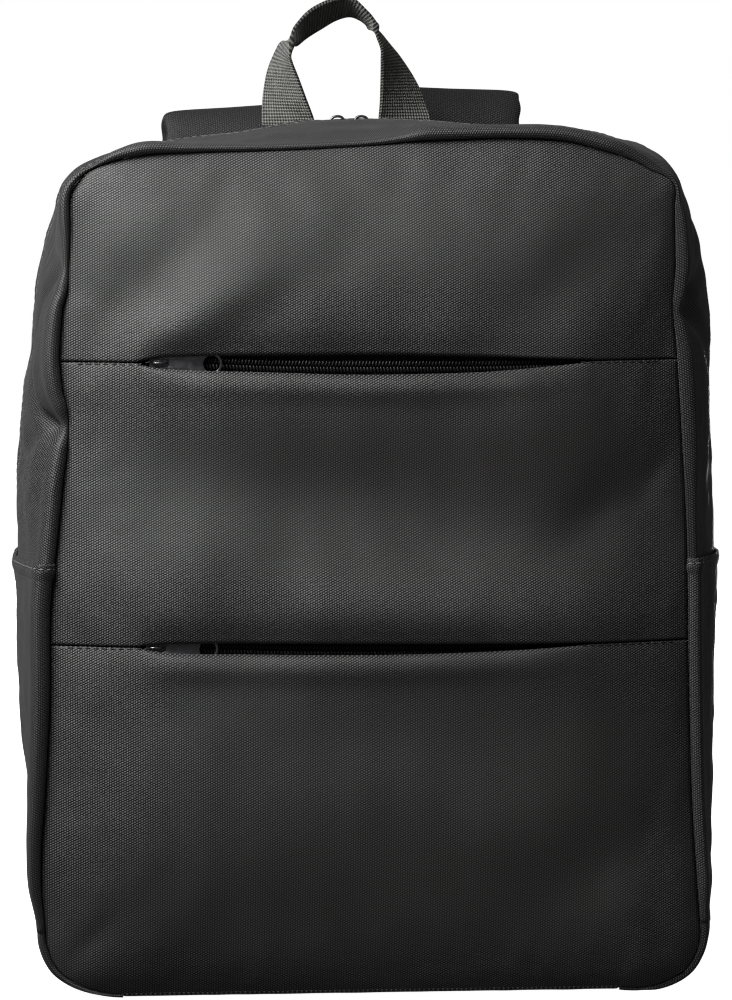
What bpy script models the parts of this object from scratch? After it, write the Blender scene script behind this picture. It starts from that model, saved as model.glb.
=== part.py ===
"""A laptop backpack with three front tiers, two front pocket zips, a main zip over
the top, slip pockets, a webbing handle and padded shoulder straps.

Metres. +Z is up, the front faces -Y, and the origin is the middle of the flat base.
"""

import math

import bmesh
import bpy
import numpy as np
from mathutils import Matrix, Vector

# Cloth and clearances
PANEL_WALL = 0.0026
GUSSET_WALL = 0.0012
POCKET_WALL = 0.0012
SEWN_GAP = 0.0004
TOUCH_GAP = 0.0003

# Front seam, where the front panels meet the gusset
SEAM_HEIGHT = 0.3715
SEAM_BASE = 0.0025
SEAM_HALF_WIDTH_LOW = 0.1455
SEAM_HALF_WIDTH_HIGH = 0.1308
TOP_CORNER_RUN = 0.060
TOP_CORNER_DROP = 0.024
BASE_CORNER_RUN = 0.035
BASE_CORNER_RISE = 0.025
TOP_LEAN = 0.035
BODY_DEPTH = 0.102
FRONT_SEAM_Y = -0.052
BACK_SEAM_Y = FRONT_SEAM_Y + BODY_DEPTH

# Gusset: how far it bulges past the seam, and the rolled lip round the front
BULGE = 0.018
LIP_WIDTH = 0.0062
LIP_HEIGHT = 0.0060
MAIN_ZIP_Y = -0.003
MAIN_ZIP_HALF_OPENING = 0.0052
MAIN_ZIP_SUNK = 0.0026
MAIN_ZIP_END = 0.222
MAIN_ZIP_TAPE_HALF_WIDTH = 0.0073

# Front panels
EDGE_ROLL = 0.0075
EDGE_ROLL_REACH = 0.011
CROWN = 0.0115
CROWN_REACH = 0.055
TIER_TUCK = 0.0030
FOLD_DEPTH = 0.0030

# Front pocket zips
UPPER_ZIP_Z = 0.2790
UPPER_ZIP_GAPE = 0.0080
LOWER_ZIP_Z = 0.1552
LOWER_ZIP_GAPE = 0.0044
ZIP_OPENING_LEFT = -0.103
ZIP_OPENING_RIGHT = 0.096
ZIP_TAPE_HALF_HEIGHT = 0.0090
ZIP_TAPE_WALL = 0.0010
ZIP_TAPE_OVERRUN = 0.009
COIL_HALF_WIDTH = 0.0026
COIL_TOP_HALF_WIDTH = 0.0021
COIL_HEIGHT = 0.0018

# Sliders and pull tabs
SLIDER_LENGTH = 0.0090
SLIDER_WIDTH = 0.0076
SLIDER_PLATE = 0.0009
BRIDGE_HALF_SPAN = 0.0030
BRIDGE_RADIUS = 0.0006
PIVOT_ABOVE_PLATE = 0.0011
PULL_LENGTH = 0.0270
PULL_WIDTH = 0.0092
PULL_WALL = 0.0008
PULL_EYE_BAR = 0.0007
PULL_EYE_LENGTH = 0.0035
PULL_EYE_WIDTH = 0.0034
PULL_EYE_ROUNDING = 0.0010
PULL_END_ROUNDING = 0.0045
PULL_RING_RADIUS = 0.0036
UPPER_SLIDER_X = -0.0930
LOWER_SLIDER_X = -0.0950
MAIN_SLIDER_APART = 0.0108
MAIN_SLIDER_X = -0.0060

# Slip pockets
POCKET_HEM_Z = 0.191
POCKET_FOOT_Z = 0.016

# Base and back
BASE_WALL = 0.0045
BACK_PAD = 0.0065
BACK_PAD_EDGE = 0.0030
BACK_SHARE_OF_BULGE = 0.45

# Handle
WEBBING_WIDTH = 0.0248
WEBBING_WALL = 0.0015
HARNESS_SHIFT = -0.0035
HANDLE_HALF_SPAN = 0.0380
HANDLE_HEIGHT = 0.0580
HANDLE_FOOT_Y = 0.0375

# Shoulder straps
STRAP_HALF_WIDTH = 0.0325
STRAP_SPACING = 0.0480
STRAP_PAD = 0.0080
STRAP_ABOVE_SEAM = 0.0220
STRAP_RISE = SEAM_HEIGHT + STRAP_ABOVE_SEAM
STRAP_BOW = 0.046
STRAP_END_INSIDE_SEAM = 0.0535
STRAP_END_X = SEAM_HALF_WIDTH_LOW - STRAP_END_INSIDE_SEAM
STRAP_END_Z = 0.128
STRAP_END_HALF_WIDTH = 0.0150
BUCKLE_WIDTH = 0.0340
BUCKLE_HEIGHT = 0.0260
BUCKLE_WALL = 0.0034
BUCKLE_SLOT = 0.0060
BUCKLE_SLOT_HALF_WIDTH = 0.0145
BUCKLE_SLOT_ROUNDING = 0.0010
BUCKLE_ROUNDING = 0.0036
ANCHOR_INSIDE_SEAM = 0.0275
ANCHOR_X = SEAM_HALF_WIDTH_LOW - ANCHOR_INSIDE_SEAM
ANCHOR_Z = 0.030
STRAP_WEBBING_HALF_WIDTH = 0.0123
STRAP_WEBBING_WALL = 0.0012

# Rows round the seam, from the left end of the base, up, over the top and down
CORNER_STEPS = 6
LOWER_SIDE_STEPS = 6
MIDDLE_SIDE_STEPS = 6
UPPER_SIDE_STEPS = 4
HALF_TOP_STEPS = 6

# Bulge of the gusset past the seam: along = share of the way round the seam from the
# left end of the base to the right one, out = share of BULGE
BULGE_ROWS = (
    # along, out
    (0.000, 0.03),
    (0.068, 0.08),
    (0.102, 0.32),
    (0.137, 0.54),
    (0.190, 0.76),
    (0.240, 0.95),
    (0.275, 0.88),
    (0.300, 0.69),
    (0.326, 0.64),
    (0.343, 0.48),
    (0.362, 0.22),
    (0.400, 0.25),
    (0.431, 0.34),
    (0.481, 0.62),
    (0.512, 0.56),
    (0.561, 0.31),
    (0.602, 0.27),
    (0.632, 0.52),
    (0.657, 0.86),
    (0.692, 1.09),
    (0.740, 1.04),
    (0.790, 1.00),
    (0.845, 0.79),
    (0.898, 0.60),
    (0.950, 0.44),
    (0.985, 0.22),
    (1.000, 0.05),
)

# Width of the rolled lip: along as above, size = share of LIP_WIDTH and LIP_HEIGHT
LIP_ROWS = (
    # along, size
    (0.000, 0.34),
    (0.030, 0.45),
    (0.060, 0.60),
    (0.150, 0.90),
    (0.260, 1.00),
    (0.277, 0.62),
    (0.290, 1.00),
    (0.325, 0.95),
    (0.346, 0.55),
    (0.362, 0.80),
    (0.450, 0.80),
    (0.500, 0.62),
    (0.550, 0.90),
    (0.630, 0.75),
    (0.645, 1.00),
    (0.676, 0.70),
    (0.700, 1.00),
    (0.900, 1.00),
    (0.940, 0.70),
    (0.970, 0.48),
    (1.000, 0.34),
)

# Section of the front gusset from the seam back to the main zip: back = share of the
# way to the zip, out = share of the bulge, lip_out and lip_front = shares of the lip
FRONT_GUSSET_ROWS = (
    # back, out, lip_out, lip_front
    (0.00, 0.00, 0.00, 0.00),
    (0.00, 0.00, 0.05, 0.72),
    (0.00, 0.03, 0.50, 1.00),
    (0.00, 0.06, 0.92, 0.62),
    (0.05, 0.14, 1.00, 0.00),
    (0.28, 0.62, 0.38, 0.00),
    (0.62, 0.93, 0.06, 0.00),
    (1.00, 1.00, 0.00, 0.00),
)

# Section of the back gusset from the main zip to the back seam: back = share of the
# way to the back seam, in_share = share of the way in to the back seam's bulge
BACK_GUSSET_ROWS = (
    # back, in_share
    (0.00, 0.00),
    (0.35, 0.16),
    (0.72, 0.56),
    (1.00, 1.00),
)

# Gape of a front zip: along = share of the opening from its left end, up and down =
# shares of the zip's gape above and below the seam line
UPPER_GAPE_ROWS = (
    # along, up, down
    (0.00, 0.02, 0.02),
    (0.09, 0.26, 0.14),
    (0.26, 0.33, 0.48),
    (0.50, 0.34, 0.65),
    (0.73, 0.24, 0.56),
    (0.90, 0.10, 0.26),
    (1.00, 0.02, 0.02),
)
LOWER_GAPE_ROWS = (
    # along, up, down
    (0.00, 0.04, 0.04),
    (0.13, 0.22, 0.66),
    (0.50, 0.16, 0.82),
    (0.74, 0.10, 0.62),
    (1.00, 0.04, 0.04),
)

# Soft folds of the front: x = share of the half width, z = share of the seam height,
# long and short = spreads as shares of the half width, turn = degrees of the long
# axis from +X, depth = share of FOLD_DEPTH, where a positive one is a valley
FRONT_FOLD_ROWS = (
    # x, z, long, short, turn, depth
    (0.78, 0.870, 0.30, 0.10, 62.0, 1.00),
    (0.60, 0.790, 0.34, 0.13, 48.0, -0.45),
    (-0.66, 0.800, 0.36, 0.13, 58.0, 0.55),
    (-0.45, 0.810, 0.40, 0.13, 50.0, -0.40),
    (0.10, 0.585, 0.90, 0.13, -12.0, 0.80),
    (-0.62, 0.590, 0.20, 0.14, 80.0, 0.60),
    (0.72, 0.590, 0.26, 0.10, 42.0, 0.65),
    (0.05, 0.480, 0.80, 0.16, -4.0, -0.60),
    (0.05, 0.335, 0.90, 0.12, -2.0, 0.45),
    (0.20, 0.250, 0.70, 0.16, 4.0, -0.55),
    (0.70, 0.150, 0.36, 0.12, 34.0, 0.60),
    (-0.78, 0.090, 0.22, 0.08, 38.0, 0.45),
)

# Carry handle from its left foot over to its right one: x = share of the half span
# and z = share of the height above its foot, of its outer and of its inner edge
HANDLE_ROWS = (
    # outer_x, outer_z, inner_x, inner_z
    (-1.00, 0.000, -0.385, 0.000),
    (-1.00, 0.070, -0.415, 0.070),
    (-0.98, 0.225, -0.505, 0.210),
    (-0.92, 0.420, -0.620, 0.400),
    (-0.80, 0.615, -0.695, 0.555),
    (-0.69, 0.745, -0.560, 0.655),
    (-0.42, 0.935, -0.300, 0.775),
    (-0.06, 1.000, -0.030, 0.840),
    (0.20, 0.925, 0.160, 0.835),
    (0.36, 0.785, 0.300, 0.765),
    (0.54, 0.615, 0.375, 0.600),
    (0.70, 0.460, 0.378, 0.455),
    (0.84, 0.300, 0.378, 0.300),
    (0.93, 0.160, 0.375, 0.160),
    (0.99, 0.050, 0.365, 0.050),
    (1.00, 0.000, 0.365, 0.000),
)

# Shoulder strap from its sewn end, up, over the fold and down: y = share of STRAP_BOW
# behind the back, z = share of the way from STRAP_END_Z to STRAP_RISE, x = share of
# the way from the top spacing to the lower end, width = share of the way from the
# full half width to the lower end's, pad = share of STRAP_PAD
STRAP_ROWS = (
    # y, z, x, width, pad
    (0.028, 0.880, 0.00, 0.00, 0.35),
    (0.036, 0.930, 0.00, 0.00, 0.45),
    (0.09, 0.972, 0.00, 0.00, 0.60),
    (0.26, 1.000, 0.01, 0.00, 0.70),
    (0.40, 0.970, 0.03, 0.02, 0.85),
    (0.50, 0.860, 0.09, 0.10, 1.00),
    (0.68, 0.700, 0.22, 0.25, 1.00),
    (0.88, 0.500, 0.42, 0.42, 1.00),
    (1.00, 0.300, 0.65, 0.60, 1.00),
    (0.97, 0.130, 0.86, 0.80, 1.00),
    (0.88, 0.050, 0.95, 0.94, 0.60),
    (0.82, 0.000, 1.00, 1.00, 0.20),
)

BLACK_CLOTH = (0.018, 0.018, 0.019, 1.0)
BLACK_MESH = (0.014, 0.014, 0.015, 1.0)
GREY_WEBBING = (0.11, 0.11, 0.11, 1.0)
ZIP_BLACK = (0.012, 0.012, 0.012, 1.0)
GUNMETAL = (0.16, 0.16, 0.17, 1.0)
BLACK_PLASTIC = (0.015, 0.015, 0.016, 1.0)


def clear_scene():
    for old in list(bpy.data.objects):
        bpy.data.objects.remove(old, do_unlink=True)


def new_collection(name):
    collection = bpy.data.collections.new(name)
    bpy.context.scene.collection.children.link(collection)
    return collection


def new_material(name, colour, roughness, metallic=0.0):
    material = bpy.data.materials.new(name)
    material.use_nodes = True
    shader = material.node_tree.nodes["Principled BSDF"]
    shader.inputs["Base Color"].default_value = colour
    shader.inputs["Roughness"].default_value = roughness
    shader.inputs["Metallic"].default_value = metallic
    return material


def column(rows, index):
    return np.array([row[index] for row in rows])


def table_value(rows, where, index=1):
    return np.interp(where, column(rows, 0), column(rows, index))


def smooth_rows(rows, per_step):
    """Points on a Catmull-Rom curve through the rows, per_step of them for each step."""
    rows = np.asarray(rows, float)
    padded = np.vstack([2 * rows[0] - rows[1], rows, 2 * rows[-1] - rows[-2]])
    out = []
    for i in range(len(rows) - 1):
        before, start, end, after = padded[i : i + 4]
        for step in range(per_step):
            t = step / per_step
            out.append(
                start
                + 0.5 * t * (end - before)
                + t * t * (before - 2.5 * start + 2 * end - 0.5 * after)
                + t**3 * (1.5 * (start - end) + 0.5 * (after - before))
            )
    out.append(rows[-1])
    return np.array(out)


def half_width(z):
    side_top = SEAM_HEIGHT - TOP_CORNER_DROP
    share = np.clip(z / side_top, 0.0, 1.0)
    return SEAM_HALF_WIDTH_LOW + (SEAM_HALF_WIDTH_HIGH - SEAM_HALF_WIDTH_LOW) * share


def seam_half():
    """The left half of the front seam, from the base to the middle of the top."""
    points = []
    corner_z = SEAM_BASE + BASE_CORNER_RISE
    corner_x = -(half_width(corner_z) - BASE_CORNER_RUN)
    for step in range(CORNER_STEPS + 1):
        angle = math.radians(270 - 90 * step / CORNER_STEPS)
        x = corner_x + BASE_CORNER_RUN * math.cos(angle)
        points.append((x, corner_z + BASE_CORNER_RISE * math.sin(angle)))
    side_top = SEAM_HEIGHT - TOP_CORNER_DROP
    stops = (corner_z, LOWER_ZIP_Z, UPPER_ZIP_Z, side_top)
    steps = (LOWER_SIDE_STEPS, MIDDLE_SIDE_STEPS, UPPER_SIDE_STEPS)
    for low, high, count in zip(stops, stops[1:], steps):
        for step in range(1, count + 1):
            z = low + (high - low) * step / count
            points.append((-half_width(z), z))
    top_x = -(half_width(side_top) - TOP_CORNER_RUN)
    for step in range(1, CORNER_STEPS + 1):
        angle = math.radians(180 - 90 * step / CORNER_STEPS)
        x = top_x + TOP_CORNER_RUN * math.cos(angle)
        points.append((x, side_top + TOP_CORNER_DROP * math.sin(angle)))
    for step in range(1, HALF_TOP_STEPS + 1):
        points.append((top_x * (1 - step / HALF_TOP_STEPS), SEAM_HEIGHT))
    return np.array(points)


def seam_loop():
    """Points, outward normals and shares of the way round the whole front seam."""
    left = seam_half()
    right = left[-2::-1] * (-1, 1)
    points = np.vstack([left, right])
    points[:, 1] += TOP_LEAN * points[:, 0] * (points[:, 1] / SEAM_HEIGHT) ** 6
    tangents = np.gradient(points, axis=0)
    tangents[0] = (-1, 0)
    tangents[-1] = (-1, 0)
    tangents /= np.linalg.norm(tangents, axis=1)[:, None]
    normals = np.stack([-tangents[:, 1], tangents[:, 0]], axis=1)
    steps = np.linalg.norm(np.diff(points, axis=0), axis=1)
    along = np.concatenate([[0], np.cumsum(steps)])
    return points, normals, along / along[-1]


SEAM, SEAM_NORMALS, SEAM_ALONG = seam_loop()
LAST = len(SEAM) - 1
HALF_CORNER = CORNER_STEPS // 2
LOWER_ZIP_ROW = CORNER_STEPS + LOWER_SIDE_STEPS
UPPER_ZIP_ROW = LOWER_ZIP_ROW + MIDDLE_SIDE_STEPS
TOP_CORNER_ROW = UPPER_ZIP_ROW + UPPER_SIDE_STEPS + HALF_CORNER
COLUMNS = 2 * (HALF_TOP_STEPS + HALF_CORNER)


def bulge():
    return BULGE * table_value(BULGE_ROWS, SEAM_ALONG)


def zip_half_opening():
    """The main zip's half opening at each row: closed below the zip's ends."""
    height = SEAM[:, 1]
    share = np.clip((height - MAIN_ZIP_END) / (2 * MAIN_ZIP_HALF_OPENING), 0, 1)
    return SEWN_GAP / 2 + (MAIN_ZIP_HALF_OPENING - SEWN_GAP / 2) * share


def place(out, y):
    """Points at the distance out from the seam and at the depth y, for each row."""
    flat = SEAM + SEAM_NORMALS * out[:, None]
    z = np.maximum(flat[:, 1], TOUCH_GAP)
    return np.stack([flat[:, 0], y, z], axis=1)


def front_gusset_grid(extra=0.0):
    """Outer face of the front gusset, pushed out by extra, rows round the seam."""
    lip = table_value(LIP_ROWS, SEAM_ALONG)
    zip_edge = MAIN_ZIP_Y - zip_half_opening()
    columns = []
    for back, out, lip_out, lip_front in FRONT_GUSSET_ROWS:
        reach = out * bulge() + lip_out * lip * LIP_WIDTH + SEWN_GAP
        depth = FRONT_SEAM_Y + back * (zip_edge - FRONT_SEAM_Y)
        forward = lip_front * lip * LIP_HEIGHT
        outward = extra * min(1.0, 2 * lip_out + out + back)
        ahead = extra * lip_front
        columns.append(place(reach + outward, depth - forward - ahead))
    return np.stack(columns, axis=1)


def back_seam_reach():
    return BACK_SHARE_OF_BULGE * bulge()


def back_gusset_grid(extra=0.0):
    zip_edge = MAIN_ZIP_Y + zip_half_opening()
    columns = []
    for back, in_share in BACK_GUSSET_ROWS:
        reach = bulge() + in_share * (back_seam_reach() - bulge()) + SEWN_GAP
        depth = zip_edge + back * (BACK_SEAM_Y - zip_edge)
        columns.append(place(reach + extra, depth))
    return np.stack(columns, axis=1)


def seam_distance(x, z):
    """A smooth measure of the distance to the front seam and its base line."""
    base_x = np.linspace(SEAM[0, 0], SEAM[-1, 0], 2 * HALF_TOP_STEPS + 1)
    base = np.stack([base_x, np.full_like(base_x, SEAM_BASE)], axis=1)
    edge = np.vstack([SEAM, base])
    ends = np.roll(edge, -1, axis=0)
    run = ends - edge
    length = np.maximum((run**2).sum(axis=1), 1e-12)
    offset = np.stack([x, z], axis=-1)[..., None, :] - edge
    share = np.clip((offset * run).sum(axis=-1) / length, 0, 1)
    nearest = np.linalg.norm(offset - share[..., None] * run, axis=-1)
    return nearest.min(axis=-1)


def front_y(x, z):
    """Depth of the front's outer face at a place of the front."""
    distance = seam_distance(x, z)
    roll = EDGE_ROLL * (1 - np.exp(-distance / EDGE_ROLL_REACH))
    crown = CROWN * (1 - np.exp(-((distance / CROWN_REACH) ** 2)))
    inset = 1 - np.exp(-distance / EDGE_ROLL_REACH)
    dent = np.zeros_like(distance)
    for zip_z in (LOWER_ZIP_Z, UPPER_ZIP_Z):
        below = np.exp(-np.abs(z - zip_z) / np.where(z < zip_z, 0.010, 0.022))
        dent += TIER_TUCK * below
    for fold_x, fold_z, long, short, turn, depth in FRONT_FOLD_ROWS:
        across = x / SEAM_HALF_WIDTH_LOW - fold_x
        up = (z - fold_z * SEAM_HEIGHT) / SEAM_HALF_WIDTH_LOW
        angle = math.radians(turn)
        along_fold = (across * math.cos(angle) + up * math.sin(angle)) / long
        over_fold = (up * math.cos(angle) - across * math.sin(angle)) / short
        dent += depth * FOLD_DEPTH * np.exp(-(along_fold**2) - over_fold**2)
    return FRONT_SEAM_Y - roll - crown + dent * inset


def coons(left, right, bottom, top):
    """A grid of points between four boundary rows that meet at their ends."""
    up = np.linspace(0, 1, len(left))[:, None, None]
    across = np.linspace(0, 1, len(bottom))[None, :, None]
    sides = (1 - across) * left[:, None] + across * right[:, None]
    ends = (1 - up) * bottom[None] + up * top[None]
    corners = (
        (1 - across) * ((1 - up) * left[0] + up * left[-1])
        + across * ((1 - up) * right[0] + up * right[-1])
    )
    return sides + ends - corners


def zip_line(row, gape, gape_rows, side):
    """One edge of a front zip across the front: side is 1 above it and -1 below."""
    left, right = SEAM[row], SEAM[LAST - row]
    x = np.linspace(left[0], right[0], COLUMNS + 1)
    z = np.linspace(left[1], right[1], COLUMNS + 1)
    along = (x - ZIP_OPENING_LEFT) / (ZIP_OPENING_RIGHT - ZIP_OPENING_LEFT)
    share = table_value(gape_rows, along, 1 if side > 0 else 2)
    inside = (along > 0) & (along < 1)
    offset = np.where(inside, share * gape, 0) + SEWN_GAP / 2
    return np.stack([x, z + side * offset], axis=1)


def front_grid(low_row, high_row, bottom, top):
    """Grid of outer points of one front tier between two rows of the seam."""
    left = SEAM[low_row : high_row + 1].copy()
    right = SEAM[LAST - high_row : LAST - low_row + 1][::-1].copy()
    for end, line in ((0, bottom), (-1, top)):
        left[end] = line[0]
        right[end] = line[-1]
    flat = coons(left, right, bottom, top)
    x, z = flat[..., 0], flat[..., 1]
    return np.stack([x, front_y(x, z), z], axis=-1)


def mesh_object(name, vertices, faces, material):
    mesh = bpy.data.meshes.new(name)
    mesh.from_pydata([tuple(v) for v in vertices], [], faces)
    mesh.materials.append(material)
    mesh.shade_smooth()
    made = bpy.data.objects.new(name, mesh)
    BAG.objects.link(made)
    return made


def cloth(name, grid, wall, material, turn=False):
    """An open sheet of points made solid: its wall goes in from the outer face."""
    rows, columns = grid.shape[:2]
    faces = []
    for i in range(rows - 1):
        for j in range(columns - 1):
            face = [
                i * columns + j,
                i * columns + j + 1,
                (i + 1) * columns + j + 1,
                (i + 1) * columns + j,
            ]
            faces.append(face[::-1] if turn else face)
    made = mesh_object(name, grid.reshape(-1, 3), faces, material)
    solidify = made.modifiers.new("Wall", "SOLIDIFY")
    solidify.thickness = wall
    solidify.offset = -1
    solidify.use_even_offset = False
    return made


def band(name, rings, material):
    """A strip lofted through closed sections of equal count, with flat ends."""
    rings = np.asarray(rings)
    count, sides = rings.shape[:2]
    faces = []
    for i in range(count - 1):
        for j in range(sides):
            k = (j + 1) % sides
            faces.append(
                [i * sides + j, i * sides + k, (i + 1) * sides + k, (i + 1) * sides + j]
            )
    faces.append(list(range(sides))[::-1])
    faces.append([(count - 1) * sides + j for j in range(sides)])
    made = mesh_object(name, rings.reshape(-1, 3), faces, material)
    mesh = bmesh.new()
    mesh.from_mesh(made.data)
    bmesh.ops.recalc_face_normals(mesh, faces=mesh.faces)
    mesh.to_mesh(made.data)
    mesh.free()
    return made


def make_front_panels():
    upper_above = zip_line(UPPER_ZIP_ROW, UPPER_ZIP_GAPE, UPPER_GAPE_ROWS, 1)
    upper_below = zip_line(UPPER_ZIP_ROW, UPPER_ZIP_GAPE, UPPER_GAPE_ROWS, -1)
    lower_above = zip_line(LOWER_ZIP_ROW, LOWER_ZIP_GAPE, LOWER_GAPE_ROWS, 1)
    lower_below = zip_line(LOWER_ZIP_ROW, LOWER_ZIP_GAPE, LOWER_GAPE_ROWS, -1)
    top = SEAM[TOP_CORNER_ROW : LAST - TOP_CORNER_ROW + 1]
    base_x = np.linspace(SEAM[0, 0], SEAM[-1, 0], 2 * HALF_TOP_STEPS + 1)
    base = np.stack([base_x, np.full_like(base_x, SEAM_BASE)], axis=1)
    left_corner = SEAM[HALF_CORNER:0:-1]
    right_corner = SEAM[LAST - 1 : LAST - HALF_CORNER - 1 : -1]
    bottom = np.vstack([left_corner, base, right_corner])
    tiers = (
        ("front_upper_panel", UPPER_ZIP_ROW, TOP_CORNER_ROW, upper_above, top),
        ("front_middle_panel", LOWER_ZIP_ROW, UPPER_ZIP_ROW, lower_above, upper_below),
        ("front_lower_panel", HALF_CORNER, LOWER_ZIP_ROW, bottom, lower_below),
    )
    for name, low_row, high_row, low_line, high_line in tiers:
        grid = front_grid(low_row, high_row, low_line, high_line)
        cloth(name, grid, PANEL_WALL, CLOTH)


def make_gussets():
    cloth("front_gusset", front_gusset_grid(), GUSSET_WALL, CLOTH, turn=True)
    cloth("back_gusset", back_gusset_grid(), GUSSET_WALL, CLOTH, turn=True)


def chain_section(coil_top, deep, half_tape):
    """A zip's section as (across, depth) pairs: tape with its coil on the outside."""
    coil_foot = coil_top - COIL_HEIGHT
    return (
        (-half_tape, coil_foot + deep),
        (-COIL_HALF_WIDTH, coil_foot),
        (-COIL_TOP_HALF_WIDTH, coil_top),
        (COIL_TOP_HALF_WIDTH, coil_top),
        (COIL_HALF_WIDTH, coil_foot),
        (half_tape, coil_foot + deep),
        (half_tape, coil_foot + deep - ZIP_TAPE_WALL),
        (COIL_HALF_WIDTH, coil_foot - ZIP_TAPE_WALL),
        (-COIL_HALF_WIDTH, coil_foot - ZIP_TAPE_WALL),
        (-half_tape, coil_foot + deep - ZIP_TAPE_WALL),
    )


def make_main_zip():
    """Tape and coil between the gussets, its tape's edges close under their walls."""
    inside = SEAM[:, 1] > MAIN_ZIP_END - 2 * MAIN_ZIP_HALF_OPENING
    under = -GUSSET_WALL - 2 * TOUCH_GAP
    deep = under + MAIN_ZIP_SUNK + COIL_HEIGHT
    section = chain_section(-MAIN_ZIP_SUNK, deep, MAIN_ZIP_TAPE_HALF_WIDTH)
    sides = []
    for across, depth in section:
        y = np.full(len(SEAM), MAIN_ZIP_Y + across)
        sides.append(place(bulge() + SEWN_GAP + depth, y))
    band("main_zip", np.stack(sides, axis=1)[inside], ZIP)


def zip_depth_behind():
    """How far a front zip's coil lies behind the front's outer face."""
    slider = SLIDER_PLATE + PIVOT_ABOVE_PLATE + PULL_WALL
    return PANEL_WALL + TOUCH_GAP + slider + TOUCH_GAP


def front_zip_middle(x, row, gape, gape_rows):
    above = zip_line(row, gape, gape_rows, 1)
    below = zip_line(row, gape, gape_rows, -1)
    middle = (above + below) / 2
    return np.interp(x, middle[:, 0], middle[:, 1])


def front_zip_y(x, z_line):
    return front_y(x, z_line) + zip_depth_behind()


def make_front_zip(name, row, gape, gape_rows):
    x = np.linspace(
        ZIP_OPENING_LEFT - ZIP_TAPE_OVERRUN,
        ZIP_OPENING_RIGHT + ZIP_TAPE_OVERRUN,
        COLUMNS,
    )
    middle = front_zip_middle(x, row, gape, gape_rows)
    y = front_zip_y(x, middle)
    deep = zip_depth_behind() - PANEL_WALL - TOUCH_GAP + COIL_HEIGHT
    sides = []
    for across, depth in chain_section(0.0, deep, ZIP_TAPE_HALF_HEIGHT):
        sides.append(np.stack([x, y - depth, middle + across], axis=1))
    band(name, np.stack(sides, axis=1), ZIP)


def slider_mesh(name):
    """A slider lying on a chain that runs along X, its coil face at z = 0."""
    mesh = bmesh.new()
    bmesh.ops.create_cube(mesh, size=1.0)
    size = Vector((SLIDER_LENGTH, SLIDER_WIDTH, SLIDER_PLATE))
    bmesh.ops.scale(mesh, vec=size, verts=mesh.verts)
    middle = Vector((0, 0, SLIDER_PLATE / 2))
    bmesh.ops.translate(mesh, vec=middle, verts=mesh.verts)
    upright = [e for e in mesh.edges if abs(e.verts[0].co.z - e.verts[1].co.z) > 1e-6]
    bmesh.ops.bevel(
        mesh, geom=upright, offset=SLIDER_WIDTH * 0.25, segments=2, affect="EDGES"
    )
    data = bpy.data.meshes.new(name)
    mesh.to_mesh(data)
    mesh.free()
    return data


def bridge_points():
    """The bridge's wire: up from the plate, over the pivot and down again."""
    foot = SLIDER_PLATE - BRIDGE_RADIUS
    crest = SLIDER_PLATE + 2 * PIVOT_ABOVE_PLATE + BRIDGE_RADIUS
    points = []
    for step in range(9):
        angle = math.radians(180 - 180 * step / 8)
        lift = math.sin(angle) ** 0.6
        points.append((BRIDGE_HALF_SPAN * math.cos(angle), 0, foot + (crest - foot) * lift))
    return points


def tube_mesh(name, points, radius, resolution):
    curve = bpy.data.curves.new(name, "CURVE")
    curve.dimensions = "3D"
    curve.bevel_depth = radius
    curve.bevel_resolution = resolution
    curve.use_fill_caps = True
    spline = curve.splines.new("POLY")
    spline.points.add(len(points) - 1)
    for point, place_at in zip(spline.points, points):
        point.co = (*place_at, 1)
    holder = bpy.data.objects.new(name, curve)
    BAG.objects.link(holder)
    bpy.context.view_layer.update()
    graph = bpy.context.evaluated_depsgraph_get()
    data = bpy.data.meshes.new_from_object(holder.evaluated_get(graph))
    mesh = bmesh.new()
    mesh.from_mesh(data)
    bmesh.ops.remove_doubles(mesh, verts=mesh.verts, dist=1e-6)
    mesh.to_mesh(data)
    mesh.free()
    bpy.data.objects.remove(holder, do_unlink=True)
    return data


def make_slider(name, frame):
    """One slider: its plate with the wire bridge joined on, placed by a matrix."""
    plate = bpy.data.objects.new(name, slider_mesh(name))
    BAG.objects.link(plate)
    plate.data.materials.append(METAL)
    bridge = bpy.data.objects.new(
        name + "_bridge", tube_mesh(name + "_bridge", bridge_points(), BRIDGE_RADIUS, 1)
    )
    CUTTERS.objects.link(bridge)
    bridge.hide_render = True
    bridge.display_type = "WIRE"
    join = plate.modifiers.new("Bridge", "BOOLEAN")
    join.operation = "UNION"
    join.object = bridge
    bridge.parent = plate
    plate.matrix_world = frame
    return plate


def flat_loop(curve, points):
    spline = curve.splines.new("POLY")
    spline.points.add(len(points) - 1)
    for point, (x, y) in zip(spline.points, points):
        point.co = (x, y, 0, 1)
    spline.use_cyclic_u = True


def rounded_outline(low, high, radius, steps):
    """A rectangle from low to high, as (x, y), with round corners."""
    points = []
    corners = (
        (high[0] - radius, high[1] - radius, 0),
        (low[0] + radius, high[1] - radius, 90),
        (low[0] + radius, low[1] + radius, 180),
        (high[0] - radius, low[1] + radius, 270),
    )
    for x, y, start in corners:
        for step in range(steps + 1):
            angle = math.radians(start + 90 * step / steps)
            points.append((x + radius * math.cos(angle), y + radius * math.sin(angle)))
    return points


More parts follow.
